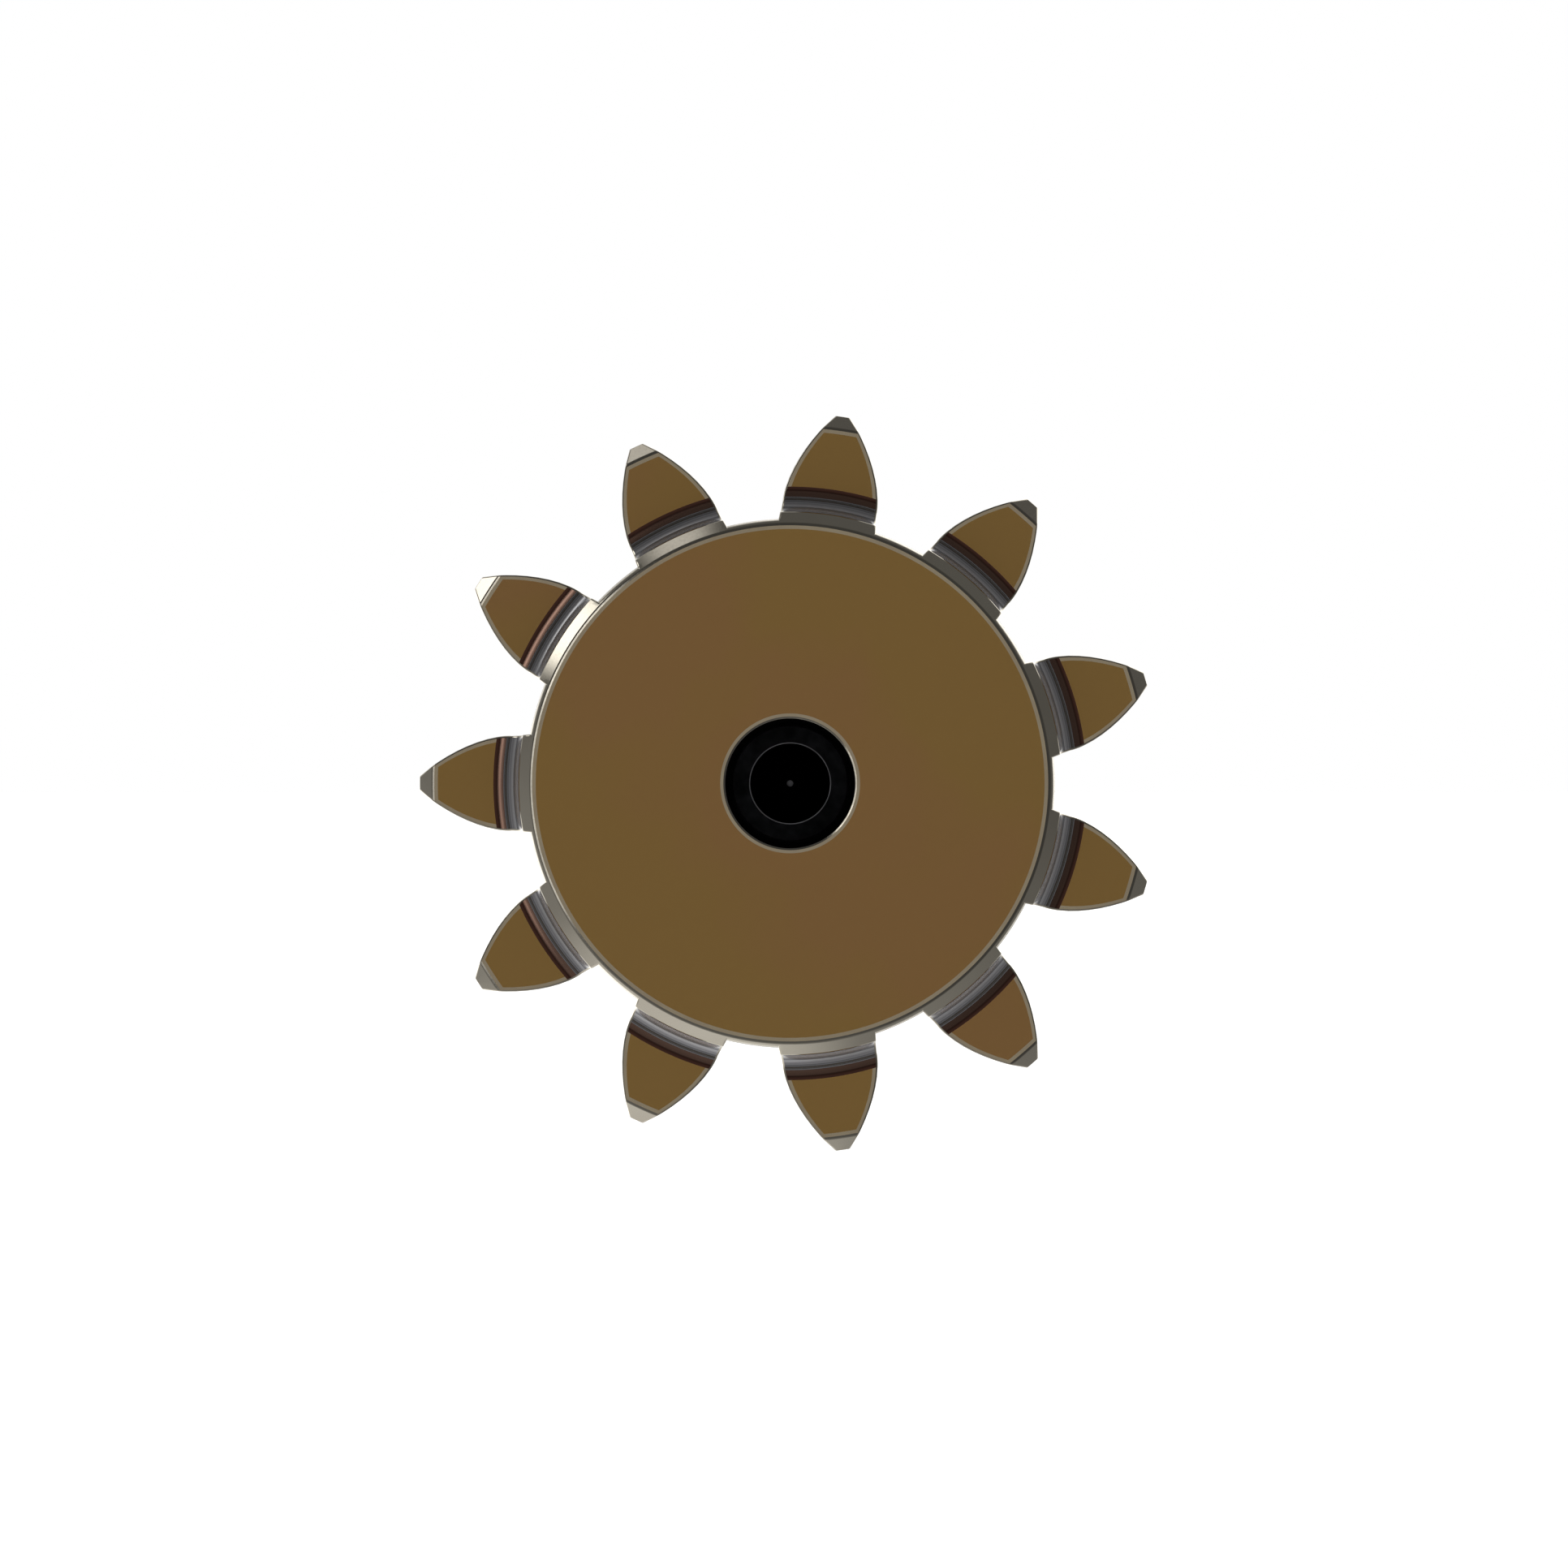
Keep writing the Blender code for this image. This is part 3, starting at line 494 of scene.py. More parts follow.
def eased(profile, size):
    """The closed profile with its corners rounded."""
    points = []
    for i, here in enumerate(profile):
        before, after = profile[i - 1], profile[(i + 1) % len(profile)]
        turn = abs(turn_between(heading(before, here), heading(here, after)))
        plain = turn < SMOOTH_TURN or here[0] == 0.0 or size == 0.0
        points += [here] if plain else rounded(before, here, after, size)
    return points


def turned(name, profile, material, ease=0.15, segments=144, centre=(0.0, 0.0)):
    """Turn a closed profile of (radius, height) points round an axis parallel to the gear axis."""
    shape = bmesh.new()
    angles = spaced(0.0, 360.0 - 360.0 / segments, segments)
    rows = []
    for radius, height in eased(profile, ease):
        if radius == 0.0:
            rows.append([shape.verts.new(place(0.0, 0.0, height, centre))] * segments)
        else:
            rows.append([shape.verts.new(place(radius, angle, height, centre)) for angle in angles])
    for i, row in enumerate(rows):
        bridge(shape, rows[i - 1], row, closed=True)
    return link_mesh(name, shape, [MATERIALS[material]])


def sleeve(outer, inner, bottom, top):
    return [(outer, top), (outer, bottom), (inner, bottom), (inner, top)]


def prism(name, outline, holes, bottom, top, material, ease=0.15, centre=(0.0, 0.0)):
    """Extrude a closed outline with holes, its edges eased all round."""
    curve = bpy.data.curves.new(name, "CURVE")
    curve.dimensions = "2D"
    curve.fill_mode = "BOTH"
    curve.bevel_depth = ease * MM
    curve.bevel_resolution = 1
    curve.offset = -ease * MM
    curve.extrude = ((top - bottom) / 2 - ease) * MM
    for points in [outline] + [hole[::-1] for hole in holes]:
        spline = curve.splines.new("POLY")
        spline.points.add(len(points) - 1)
        spline.use_cyclic_u = True
        for point, (x, y) in zip(spline.points, points):
            point.co = (x * MM, y * MM, 0.0, 1.0)
    holder = add_object(name + "_outline", curve)
    flat = evaluated_mesh(holder)
    bpy.data.objects.remove(holder, do_unlink=True)
    shape = bmesh.new()
    shape.from_mesh(flat)
    bmesh.ops.remove_doubles(shape, verts=shape.verts, dist=0.002 * MM)
    middle = (top + bottom) / 2
    for vertex in shape.verts:
        x, y, lift = vertex.co / MM
        vertex.co = ((x + centre[0]) * MM, -(middle + lift) * MM, (y + centre[1]) * MM)
    return link_mesh(name, shape, [MATERIALS[material]])


def carve(piece, cutter, operation="DIFFERENCE"):
    """Cut, or join, another mesh and remove it."""
    boolean = piece.modifiers.new("carve", "BOOLEAN")
    boolean.operation = operation
    boolean.solver = "EXACT"
    boolean.object = cutter
    apply_modifiers(piece)
    bpy.data.objects.remove(cutter, do_unlink=True)
    shade(piece.data)


def join(piece, other):
    """Add another object's mesh and materials to a piece."""
    offset = len(piece.data.materials)
    for material in other.data.materials:
        piece.data.materials.append(material)
    for face in other.data.polygons:
        face.material_index += offset
    both = bmesh.new()
    both.from_mesh(piece.data)
    both.from_mesh(other.data)
    both.to_mesh(piece.data)
    both.free()
    bpy.data.objects.remove(other, do_unlink=True)


def box_cutter(x_range, y_range, z_range):
    """Block between local x, y and height limits."""
    (left, right), (near, far) = x_range, y_range
    outline = [(left, near), (right, near), (right, far), (left, far)]
    return prism("block", outline, [], *z_range, "ground_steel", 0.0)


def drill(radius, bottom, top, flare, centre=(0.0, 0.0), segments=48):
    """Cutter for a round hole whose mouths are chamfered by flare at bottom and top."""
    wide = radius + flare + 1.0
    profile = [(0.0, bottom - 1.0), (wide, bottom - 1.0), (radius, bottom + flare),
               (radius, top - flare), (wide, top + 1.0), (0.0, top + 1.0)]
    return turned("drill", profile, "ground_steel", 0.0, segments, centre)


def add_radial_rod(shape, radius, angle, height, start, end):
    """Round rod that runs outward from the gear axis between two distances from it."""
    turn = Matrix.Rotation(math.radians(90.0 - angle), 4, "Y")
    matrix = Matrix.Translation(place((start + end) / 2, angle, height)) @ turn
    bmesh.ops.create_cone(shape, cap_ends=True, segments=48, radius1=radius * MM, radius2=radius * MM,
                          depth=(end - start) * MM, matrix=matrix)


# ==== the output pinion ====
def involute(angle):
    return math.tan(angle) - angle


def flank_angle(radius, pitch, pressure, thickness):
    """Half the angle, in degrees, that a tooth fills at the given radius."""
    base = pitch * math.cos(pressure)
    at_radius = math.acos(min(1.0, base / radius))
    return math.degrees(thickness / (2 * pitch) + involute(pressure) - involute(at_radius))


def half_tooth(radius):
    """Half a pinion tooth's angle: an involute between a straight tip and root."""
    face_end = TIP - TIP_CHAMFER
    if radius > face_end:
        last = flank_angle(face_end, PITCH, PRESSURE, THICKNESS)
        share = (radius - face_end) / TIP_CHAMFER
        return last + (math.degrees(TIP_LAND / 2 / TIP) - last) * share
    if radius >= BASE:
        return flank_angle(radius, PITCH, PRESSURE, THICKNESS)
    base_half = BASE * math.sin(math.radians(flank_angle(BASE, PITCH, PRESSURE, THICKNESS)))
    share = (radius - ROOT) / (BASE - ROOT)
    return math.degrees(math.asin((ROOT_HALF + (base_half - ROOT_HALF) * share) / radius))


def interpolate(profile, radius):
    """Height of a (radius, height, finish) profile, whose radii rise, at a radius."""
    for (r_low, low, _), (r_high, high, _) in zip(profile, profile[1:]):
        if radius <= r_high:
            share = (radius - r_low) / (r_high - r_low)
            return low + (high - low) * max(0.0, share)
    return profile[-1][1]


FACE, FADING, RIM, SLOPE, STEEL, ROUND, HOLLOW, BORE = range(8)
PINION_FINISH = ("tempered_face", "temper_edge_and_shade", "rim_painted_highlight", "polished_steel", "polished_steel",
                 "polished_steel", "fillet_steel_painted_light", "bore_painted_shade")


def finished(points, finish):
    """Profile points whose strips, each up to its point, have the given finish."""
    return [(radius, height, finish) for radius, height in points]


def blunt_corner(radius, face, into):
    """Where a flat face turns into its 45 degree chamfer at a radius: a rim painted lighter as a
    highlight, slope and round.
    """
    width = 0.19
    drop = width * math.tan(EDGE_SLOPE)
    turn = (radius + drop, face + into * drop)
    end = (turn[0] + 1.0, turn[1] + into)
    start = (turn[0] - width, face)
    corner = rounded(start, turn, end, 0.24)
    return (finished([(start[0] - BAND, face)], FACE) + finished([start], RIM)
            + finished(corner[:1], SLOPE) + finished(corner[1:], ROUND))


def tip_profile(face, into):
    """From the flat of a tooth's end face round to its tip; into is +1 where the tooth lies above."""
    edge = (TIP - TIP_CHAMFER, face)
    land = (TIP, face + into * TIP_CHAMFER)
    last = rounded(edge, land, (TIP, land[1] + into), EDGE_ROUND)
    last[-1] = (TIP, last[-1][1])
    return blunt_corner(edge[0], face, into) + finished(last[:1], STEEL) + finished(last[1:], ROUND)


def hub_edge():
    """From the hub's flat face down to its chamfer."""
    return blunt_corner(HUB_RADIUS - HUB_CHAMFER, HUB_FRONT, -1.0)


def pinion_front():
    """Profile of the pinion's front from the hub's flat face out to the tips."""
    low = HUB_FRONT - HUB_CHAMFER
    shoulder = [(HUB_RADIUS - 0.06, low + 0.06, STEEL), (HUB_RADIUS, low - 0.03, ROUND)]
    fillet = arc((HUB_RADIUS + FILLET, FRONT + FILLET), FILLET, 180.0, 270.0, 19)
    fillet[0] = (HUB_RADIUS + 0.004, FRONT + FILLET)
    end = HUB_RADIUS + FILLET
    hollow = [(radius, height, FADING if radius > end - FADE else HOLLOW) for radius, height in fillet]
    return hub_edge() + shoulder + hollow + tip_profile(FRONT, -1.0)


def pinion_back():
    return [(REAR_HUB, BACK, STEEL)] + tip_profile(BACK, 1.0)


class PinionMesh:
    """Rows of vertices round the pinion, at radii where its front, back or flanks turn.

    A row has, for each tooth, its two rounded edges, the columns between them and the gap's.
    """

    MIDDLE = 7                # columns of a tooth between its rims
    GAP = 8                   # columns inside a gap

    def __init__(self):
        self.shape = bmesh.new()
        self.front = pinion_front()
        self.back = pinion_back()
        profile_radii = [radius for radius, _, _ in self.front if radius > ROOT]
        flank_radii = spaced(HUB_RADIUS + FILLET + 0.7, TIP - TIP_CHAMFER - 1.0, 5)
        self.radii = sorted([ROOT, ROOT + 0.25] + profile_radii + flank_radii)
        turns = [math.radians(angle) for angle in (90.0, 60.0, 30.0, 0.0)]
        self.edge = [(EDGE_ROUND * (1 - math.sin(a)), EDGE_ROUND * (1 - math.cos(a))) for a in turns]
        self.edge.append((EDGE_ROUND + BAND, 0.0))
        self.columns = 2 * len(self.edge) + self.MIDDLE

    def tooth_places(self, middle, radius):
        """Angle and drop of each column of a tooth at a radius."""
        half = half_tooth(radius)
        shrink = min(1.0, 0.8 * math.radians(half) * radius / self.edge[-1][0])
        side = [(math.degrees(inward * shrink / radius), drop * shrink) for inward, drop in self.edge]
        reach = half - side[-1][0]
        left = [(middle - half + turn, drop) for turn, drop in side]
        right = [(middle + half - turn, drop) for turn, drop in reversed(side)]
        angles = spaced(middle - reach, middle + reach, self.MIDDLE + 2)
        inner = [(angle, 0.0) for angle in angles[1:-1]]
        return left + inner + right

    def all_places(self):
        """Columns right round at the root, each with how far its edge drops."""
        places = []
        for tooth in range(TEETH):
            middle = FIRST_TOOTH + tooth * 360.0 / TEETH
            places += self.tooth_places(middle, ROOT)
            gap_start = middle + half_tooth(ROOT)
            gap_end = middle + 360.0 / TEETH - half_tooth(ROOT)
            angles = spaced(gap_start, gap_end, self.GAP + 2)
            places += [(angle, EDGE_ROUND) for angle in angles[1:-1]]
        return places

    def row(self, radius, height, places, side=0.0):
        """Vertices at places, lower by their drops where side is 1 and higher where it is -1."""
        return [self.shape.verts.new(place(radius, angle, height - side * drop))
                for angle, drop in places]

    def finish_at(self, profile, radius):
        return next(finish for end, _, finish in profile if radius <= end + 0.0001)

    def bridge_tooth(self, first, second, finish):
        """One strip over a tooth, from edge to edge."""
        last = len(first) - 2
        rounds = len(self.edge) - 2
        for i in range(last + 1):
            from_edge = min(i, last - i)
            here = finish
            if from_edge < rounds:
                here = ROUND
            # the strip beside a tooth's rounded edge takes the rim, painted lighter as a highlight
            elif from_edge == rounds and finish == FACE:
                here = RIM
            bridge(self.shape, first[i:i + 2], second[i:i + 2], here)

    def tooth(self, tooth, front_root, back_root):
        middle = FIRST_TOOTH + tooth * 360.0 / TEETH
        start = tooth * (self.columns + self.GAP)
        front_rows = [front_root[start:start + self.columns]]
        back_rows = [back_root[start:start + self.columns]]
        for radius in self.radii[1:]:
            places = self.tooth_places(middle, radius)
            front_rows.append(self.row(radius, interpolate(self.front, radius), places, 1.0))
            back_rows.append(self.row(radius, interpolate(self.back, radius), places, -1.0))
        for i in range(1, len(self.radii)):
            radius = self.radii[i]
            self.bridge_tooth(front_rows[i - 1], front_rows[i], self.finish_at(self.front, radius))
            self.bridge_tooth(back_rows[i - 1], back_rows[i], self.finish_at(self.back, radius))
        for side in (0, -1):
            front_side = [row[side] for row in front_rows]
            bridge(self.shape, front_side, [row[side] for row in back_rows], STEEL)
        bridge(self.shape, front_rows[-1], back_rows[-1], STEEL)

    def gaps(self, front_root, back_root):
        pitch = self.columns + self.GAP
        for tooth in range(TEETH):
            start = tooth * pitch + self.columns - 1
            wanted = [(start + i) % len(front_root) for i in range(self.GAP + 2)]
            front = [front_root[i] for i in wanted]
            bridge(self.shape, front, [back_root[i] for i in wanted], STEEL)

    def hub_rings(self, front_root, back_root):
        """Closed rows from the root at the back, through the bore, to the root at the front."""
        width = 0.14
        slope_end = (SCREW_HOLE + width, HUB_FRONT)
        turn = (SCREW_HOLE, HUB_FRONT - width * math.tan(BORE_SLOPE))
        rim = rounded((SCREW_HOLE, HUB_FRONT - 2.0), turn, slope_end, 0.06)
        mouth = (SEAT, REAR_HUB_END)
        rear_rim = rounded((SEAT + 2.0, REAR_HUB_END), mouth, (SEAT, REAR_HUB_END + 2.0), 0.5)
        inside = ROOT - 0.2
        places = self.all_places()
        rows = [(back_root, STEEL), (self.row(REAR_HUB, BACK, places), FACE)]
        sections = [(REAR_HUB, REAR_HUB_END + 0.6, STEEL), (REAR_HUB - 0.6, REAR_HUB_END, ROUND)]
        sections += finished(rear_rim[:1], FACE) + finished(rear_rim[1:], ROUND)
        # the hole's step and wall are painted near black as shade
        sections += [(SEAT, SEAT_TOP, STEEL), (SCREW_HOLE, SEAT_TOP, BORE)]
        sections += finished(rim[:1], BORE) + finished(rim[1:], ROUND)
        # the rim round the hole and round the hub is painted lighter as a highlight
        sections += [(*slope_end, SLOPE), (SCREW_HOLE + 0.36, HUB_FRONT, RIM)] + hub_edge()
        sections += [(inside, interpolate(self.front, inside), STEEL)]
        rows += [(self.row(radius, height, places), finish) for radius, height, finish in sections]
        return rows + [(front_root, STEEL)]

    def build(self):
        front_root = self.row(ROOT, interpolate(self.front, ROOT), self.all_places(), 1.0)
        back_root = self.row(ROOT, BACK, self.all_places(), -1.0)
        rows = self.hub_rings(front_root, back_root)
        for (first, _), (second, finish) in zip(rows, rows[1:]):
            bridge(self.shape, first, second, finish, closed=True)
        for tooth in range(TEETH):
            self.tooth(tooth, front_root, back_root)
        self.gaps(front_root, back_root)
        return link_mesh("pinion", self.shape, [MATERIALS[name] for name in PINION_FINISH])


def make_pinion():
    finish_piece(PinionMesh().build(), "output", ["output_pinion"], "tempered_steel")


# ==== output shaft, housing and seal ====
def add_turned(body, node, name, profile, slot, *rest):
    """A turned piece that stands for one CAD node."""
    finish_piece(turned(name, profile, slot, *rest), body, [node], slot)


def add_prism(body, node, name, outline, holes, slot, *rest):
    """An extruded piece that stands for one CAD node and is as thick as it."""
    finish_piece(prism(name, outline, holes, *heights(node), slot, *rest), body, [node], slot)


def thread(first, second, start, pitch, turns):
    """Profile points of the rings that stand for a screw thread between two radii."""
    points = []
    for turn in range(turns):
        height = start + turn * pitch
        points += [(first, height), (second, height + pitch / 2)]
    return points


def make_shaft():
    """Blued shaft; its end, with the tapped centre hole, shows through the pinion's hole."""
    bottom, top = heights("output_shaft")
    tap, spigot, flat, collar, neck, clip_seat = 3.1, 9.0, 7.5, 12.0, 8.0, 9.4
    spigot_top, collar_top, clip_low, clip_high, neck_bottom = 40.9, 42.9, 73.0, 74.2, 82.9
    key_slot = ((-2.55, 2.55), (5.0, 12.0), (84.0, 97.0))
    hole_end = top - 20.0
    tip = hole_end - 1.62
    mouth = [(tap + 0.2, top), (tap + 0.16, top - 0.02)] + thread(tap, 3.4, top - 0.9, -1.25, 14)
    point = [(tap, hole_end), (0.45, hole_end - 1.6), (0.0, tip)]
    foot = [(0.0, bottom), (spigot, bottom), (spigot, spigot_top), (collar, spigot_top),
            (collar, collar_top), (SHAFT, collar_top)]
    clip_groove = [(SHAFT, clip_low), (clip_seat, clip_low), (clip_seat, clip_high), (SHAFT, clip_high)]
    front = [(SHAFT, neck_bottom), (neck, neck_bottom), (neck, top - 0.5), (neck - 0.5, top)]
    shaft = turned("shaft", mouth + point + foot + clip_groove + front, "black_oxide", 0.08)
    for side in (1.0, -1.0):
        away = (side * flat, side * 13.0)
        carve(shaft, box_cutter((-SHAFT, SHAFT), away, (bottom - 1.0, spigot_top)))
    carve(shaft, box_cutter(*key_slot))
    # grey ring at the tapped hole's mouth, a painted highlight
    rim = sleeve(tap + 0.26, tap + 0.14, top - 0.2, top + 0.006)
    join(shaft, turned("tap_rim", rim, "grey_painted_highlight", 0.03))
    # grey dot at the drill point, a painted highlight
    highlight_dot = [(0.0, tip + 0.04), (0.13, tip + 0.035), (0.3, tip + 0.02), (0.3, tip - 0.1),
                  (0.0, tip - 0.1)]
    join(shaft, turned("drill_point", highlight_dot, "grey_painted_highlight", 0.0))
    finish_piece(shaft, "output", ["output_shaft"], "black_oxide")


def make_nose():
    """Front housing: barrel, shoulder and flange, turned from one casting."""
    bottom, top = heights("nose_housing")
    barrel, ring_groove, shoulder, shelf = 23.0, 22.7, 23.8, 35.0
    register, carrier_room, bearing_seat, seal_seat = 24.6, 21.0, 18.6, 16.1
    seat_bottom, seat_top = 41.2, 73.0
    outside = [(21.6, top), (barrel, top - 1.4), (barrel, top - 6.0), (ring_groove, top - 6.3),
               (ring_groove, top - 7.5), (barrel, top - 7.8), (barrel, shelf + 6.0),
               (shoulder, shelf + 5.2), (shoulder, shelf + 0.6), (24.1, shelf), (CASE, shelf),
               (CASE, bottom)]
    inside = [(register, bottom), (register, bottom + 3.0), (carrier_room, bottom + 3.0),
              (carrier_room, seat_bottom), (bearing_seat, seat_bottom), (bearing_seat, seat_top),
              (seal_seat, seat_top), (seal_seat, top)]
    nose = turned("nose", outside + inside, "blasted_aluminium", 0.35)
    for centre in CASE_SCREWS:
        carve(nose, drill(CASE_SCREW + 0.2, bottom, shelf, 0.2, centre, 32))
    finish_piece(nose, "housing", ["nose_housing"], "cast_aluminium")


def make_seal():
    """Shaft seal: outer ring, folded lip and the garter spring's bead round it."""
    bottom, top = heights("oil_seal")
    outside, wall, lip = 16.0, 14.9, 10.15
    profile = [(outside, top), (outside, bottom), (wall, bottom), (wall, top - 1.7), (12.4, top - 1.7),
               (11.9, bottom + 3.4)]
    profile += arc((11.4, bottom + 2.4), 0.85, 60.0, -60.0, 7)
    profile += [(11.2, bottom + 0.9), (lip, bottom + 1.9), (lip, bottom + 2.4), (10.9, top - 2.4),
                (10.6, top - 0.9), (lip, top - 0.5), (10.3, top), (12.8, top), (13.1, top - 0.5),
                (14.0, top - 0.5), (14.3, top)]
    add_turned("housing", "oil_seal", "seal", profile, "nitrile_rubber", 0.12)


def round_outline(radius, count=48, centre=(0.0, 0.0)):
    return arc(centre, radius, 0.0, 360.0 - 360.0 / count, count)


def make_rear_flange():
    """Rear plate with the motor's register, four mounting holes and four tapped holes in front."""
    top = heights("rear_flange")[1]
    outside, register, floor, opening = 33.0, 24.0, 2.0, 20.0
    profile = [(outside, top), (outside, 0.0), (register, 0.0), (register, floor), (opening, floor),
               (opening, top)]
    flange = turned("flange", profile, "blasted_aluminium", 0.4)
    for number, centre in enumerate(CASE_SCREWS):
        carve(flange, drill(2.2, 0.0, top, 0.35, polar(28.5, 90.0 * number)))
        carve(flange, drill(CASE_SCREW + 0.1, 2.5, top, 0.0, centre, 32))
    finish_piece(flange, "housing", ["rear_flange"], "cast_aluminium")


def screw_row(shape, centre, radius, height, ridge, hexagonal):
    """A ring of a case screw's vertices, knurled by ridge or drawn out to a hexagon."""
    row = []
    for step in range(2 * KNURLS):
        angle = step * 180.0 / KNURLS
        away = math.radians((angle + 30.0) % 60.0 - 30.0)
        wide = radius / math.cos(away) if hexagonal else radius
        wide += ridge * (1 if step % 2 else -1)
        row.append(shape.verts.new(place(wide, angle, height, centre)))
    return row


def make_case_screws():
    """Socket head screws with knurled heads."""
    socket, head, ridge = 1.25, 2.7, 0.07
    for number, centre in enumerate(CASE_SCREWS, 1):
        node = "case_screw_%d" % number
        bottom, top = heights(node)
        seat = top - 3.0
        levels = [(0.01, top - 1.7, 0.0), (socket, top - 1.7, 0.0), (socket, top - 0.12, 0.0),
                  (1.5, top, 0.0), (2.3, top, 0.0), (2.6, top - 0.3, 0.0), (head, top - 0.5, ridge),
                  (head, seat + 0.35, ridge), (2.6, seat + 0.1, 0.0), (2.45, seat, 0.0),
                  (CASE_SCREW, seat, 0.0), (CASE_SCREW, bottom + 0.5, 0.0), (1.1, bottom, 0.0),
                  (0.01, bottom, 0.0)]
        shape = bmesh.new()
        rows = [screw_row(shape, centre, *level, level[0] == socket) for level in levels]
        for first, second in zip(rows, rows[1:]):
            bridge(shape, first, second, closed=True)
        shape.faces.new(rows[0])
        shape.faces.new(rows[-1])
        screw = link_mesh("socket_screw_%d" % number, shape, [MATERIALS["black_oxide"]])
        finish_piece(screw, "housing", [node], "black_oxide")


# ==== planetary stage ====
def stage_outline(teeth, first, internal=False):
    """Outline of a gear of the stage, or of the ring gear's opening with its tooth spaces."""
    pitch = STAGE_MODULE * teeth / 2
    room = BACKLASH if internal else -BACKLASH
    thickness = math.pi * STAGE_MODULE / 2 + 2 * room
    inward, outward = (0.9, 1.2) if internal else (1.2, 0.9)
    low = pitch - inward * STAGE_MODULE
    high = pitch + outward * STAGE_MODULE
    radii = spaced(max(pitch * math.cos(STAGE_PRESSURE), low), high, 9)
    section = [(radius, flank_angle(radius, pitch, STAGE_PRESSURE, thickness)) for radius in radii]
    foot = section[0][1]
    if not internal:
        section = [(low, foot + 1.6), (low + 0.12, foot + 0.4), (low + 0.4, foot)] + section
    outline = []
    for tooth in range(teeth):
        middle = first + tooth * 360.0 / teeth
        outline += [polar(radius, middle - half) for radius, half in section]
        outline += [polar(radius, middle + half) for radius, half in reversed(section)]
    return outline


def make_ring_gear():
    """Ring gear with its teeth cut right through, between the two housings."""
    holes = [stage_outline(36, 5.0, internal=True)]
    holes += [round_outline(CASE_SCREW + 0.2, 24, centre) for centre in CASE_SCREWS]
    add_prism("housing", "ring_gear", "ring", round_outline(CASE, 180), holes, "ring_steel", 0.12)


def make_sun():
    """Sun gear with its clamping hub, bored for the motor's shaft."""
    bottom, top = heights("sun_gear")
    hub_radius, hub_top, bore = 9.0, 12.0, 4.0
    sun = prism("sun", stage_outline(12, 0.0), [], hub_top - 1.0, top, "gear_steel", 0.12)
    hub = prism("hub", round_outline(hub_radius, 96), [], bottom, hub_top, "gear_steel", 0.35)
    carve(sun, hub, "UNION")
    carve(sun, drill(bore, bottom, top, 0.4, segments=64))
    hole = bmesh.new()
    add_radial_rod(hole, GRUB + 0.1, 90.0, GRUB_HEIGHT, bore - 1.0, hub_radius + 1.0)
    carve(sun, link_mesh("grub_hole", hole, []))
    finish_piece(sun, "sun", ["sun_gear"], "gear_steel")


def make_grub_screw():
    """Threaded screw with a hexagon socket that clamps the sun to the motor's shaft."""
    start, end, core = 4.2, 8.5, 1.22
    foot = [(0.0, start), (0.9, start), (1.2, start + 0.35)]
    profile = foot + thread(GRUB, core, start + 0.5, 0.5, 7) + [(1.4, end), (0.0, end)]
    screw = turned("grub", profile, "black_oxide", 0.0, 48)
    hexagon = round_outline(0.87, 6)
    carve(screw, prism("grub_socket", hexagon, [], end - 1.4, end + 1.0, "black_oxide", 0.0))
    lay_down = Matrix.Rotation(math.radians(-90.0), 4, "X")
    screw.data.transform(Matrix.Translation(place(0.0, 0.0, GRUB_HEIGHT)) @ lay_down)
    finish_piece(screw, "sun", ["sun_grub_screw"], "black_oxide")


def open_ring(inner, outer, gap, facing, count):
    start = facing + gap / 2
    end = facing + 360.0 - gap / 2
    return arc((0.0, 0.0), outer, start, end, count) + arc((0.0, 0.0), inner, end, start, count)


def make_planet(number, angle):
    """A planet gear with its bush, thrust washers, pin and snap ring."""
    centre = polar(PLANET_CIRCLE, angle)
    body = "planet_%d" % number
    gear = "planet_gear_%d" % number
    bore, pin = 4.05, 3.15
    add_prism(body, gear, body, stage_outline(12, angle + 15.0), [round_outline(bore, 64)],
              "gear_steel", 0.12, centre)
    add_turned(body, "planet_bush_%d" % number, "bush_%d" % number,
               sleeve(bore - 0.05, pin, *heights(gear)), "bronze", 0.15, 64, centre)
    for end in ("front", "rear"):
        node = "planet_washer_%s_%d" % (end, number)
        add_turned("output", node, "thrust_%s_%d" % (end, number), sleeve(5.6, 3.2, *heights(node)),
                   "bronze", 0.12, 64, centre)
    make_pin(number, centre, angle)


def make_pin(number, centre, facing):
    """A planet's pin, grooved and centre drilled, and the snap ring in its groove."""
    node = "planet_pin_%d" % number
    clip_node = "pin_clip_%d" % number
    bottom, top = heights(node)
    clip_bottom, clip_top = heights(clip_node)
    pin, seat = 3.0, 2.4
    profile = [(pin, top), (pin, clip_top + 0.1), (seat, clip_top + 0.1), (seat, clip_bottom - 0.1),
               (pin, clip_bottom - 0.1), (pin, bottom + 0.5), (2.5, bottom), (0.9, bottom),
               (0.25, bottom + 0.7), (0.02, bottom + 0.9), (0.02, top)]
    add_turned("output", node, "pin_%d" % number, profile, "ground_steel", 0.06, 64, centre)
    add_prism("output", clip_node, "clip_%d" % number, open_ring(seat + 0.1, 4.6, 90.0, facing, 48), [],
              "spring_steel", 0.1, centre)


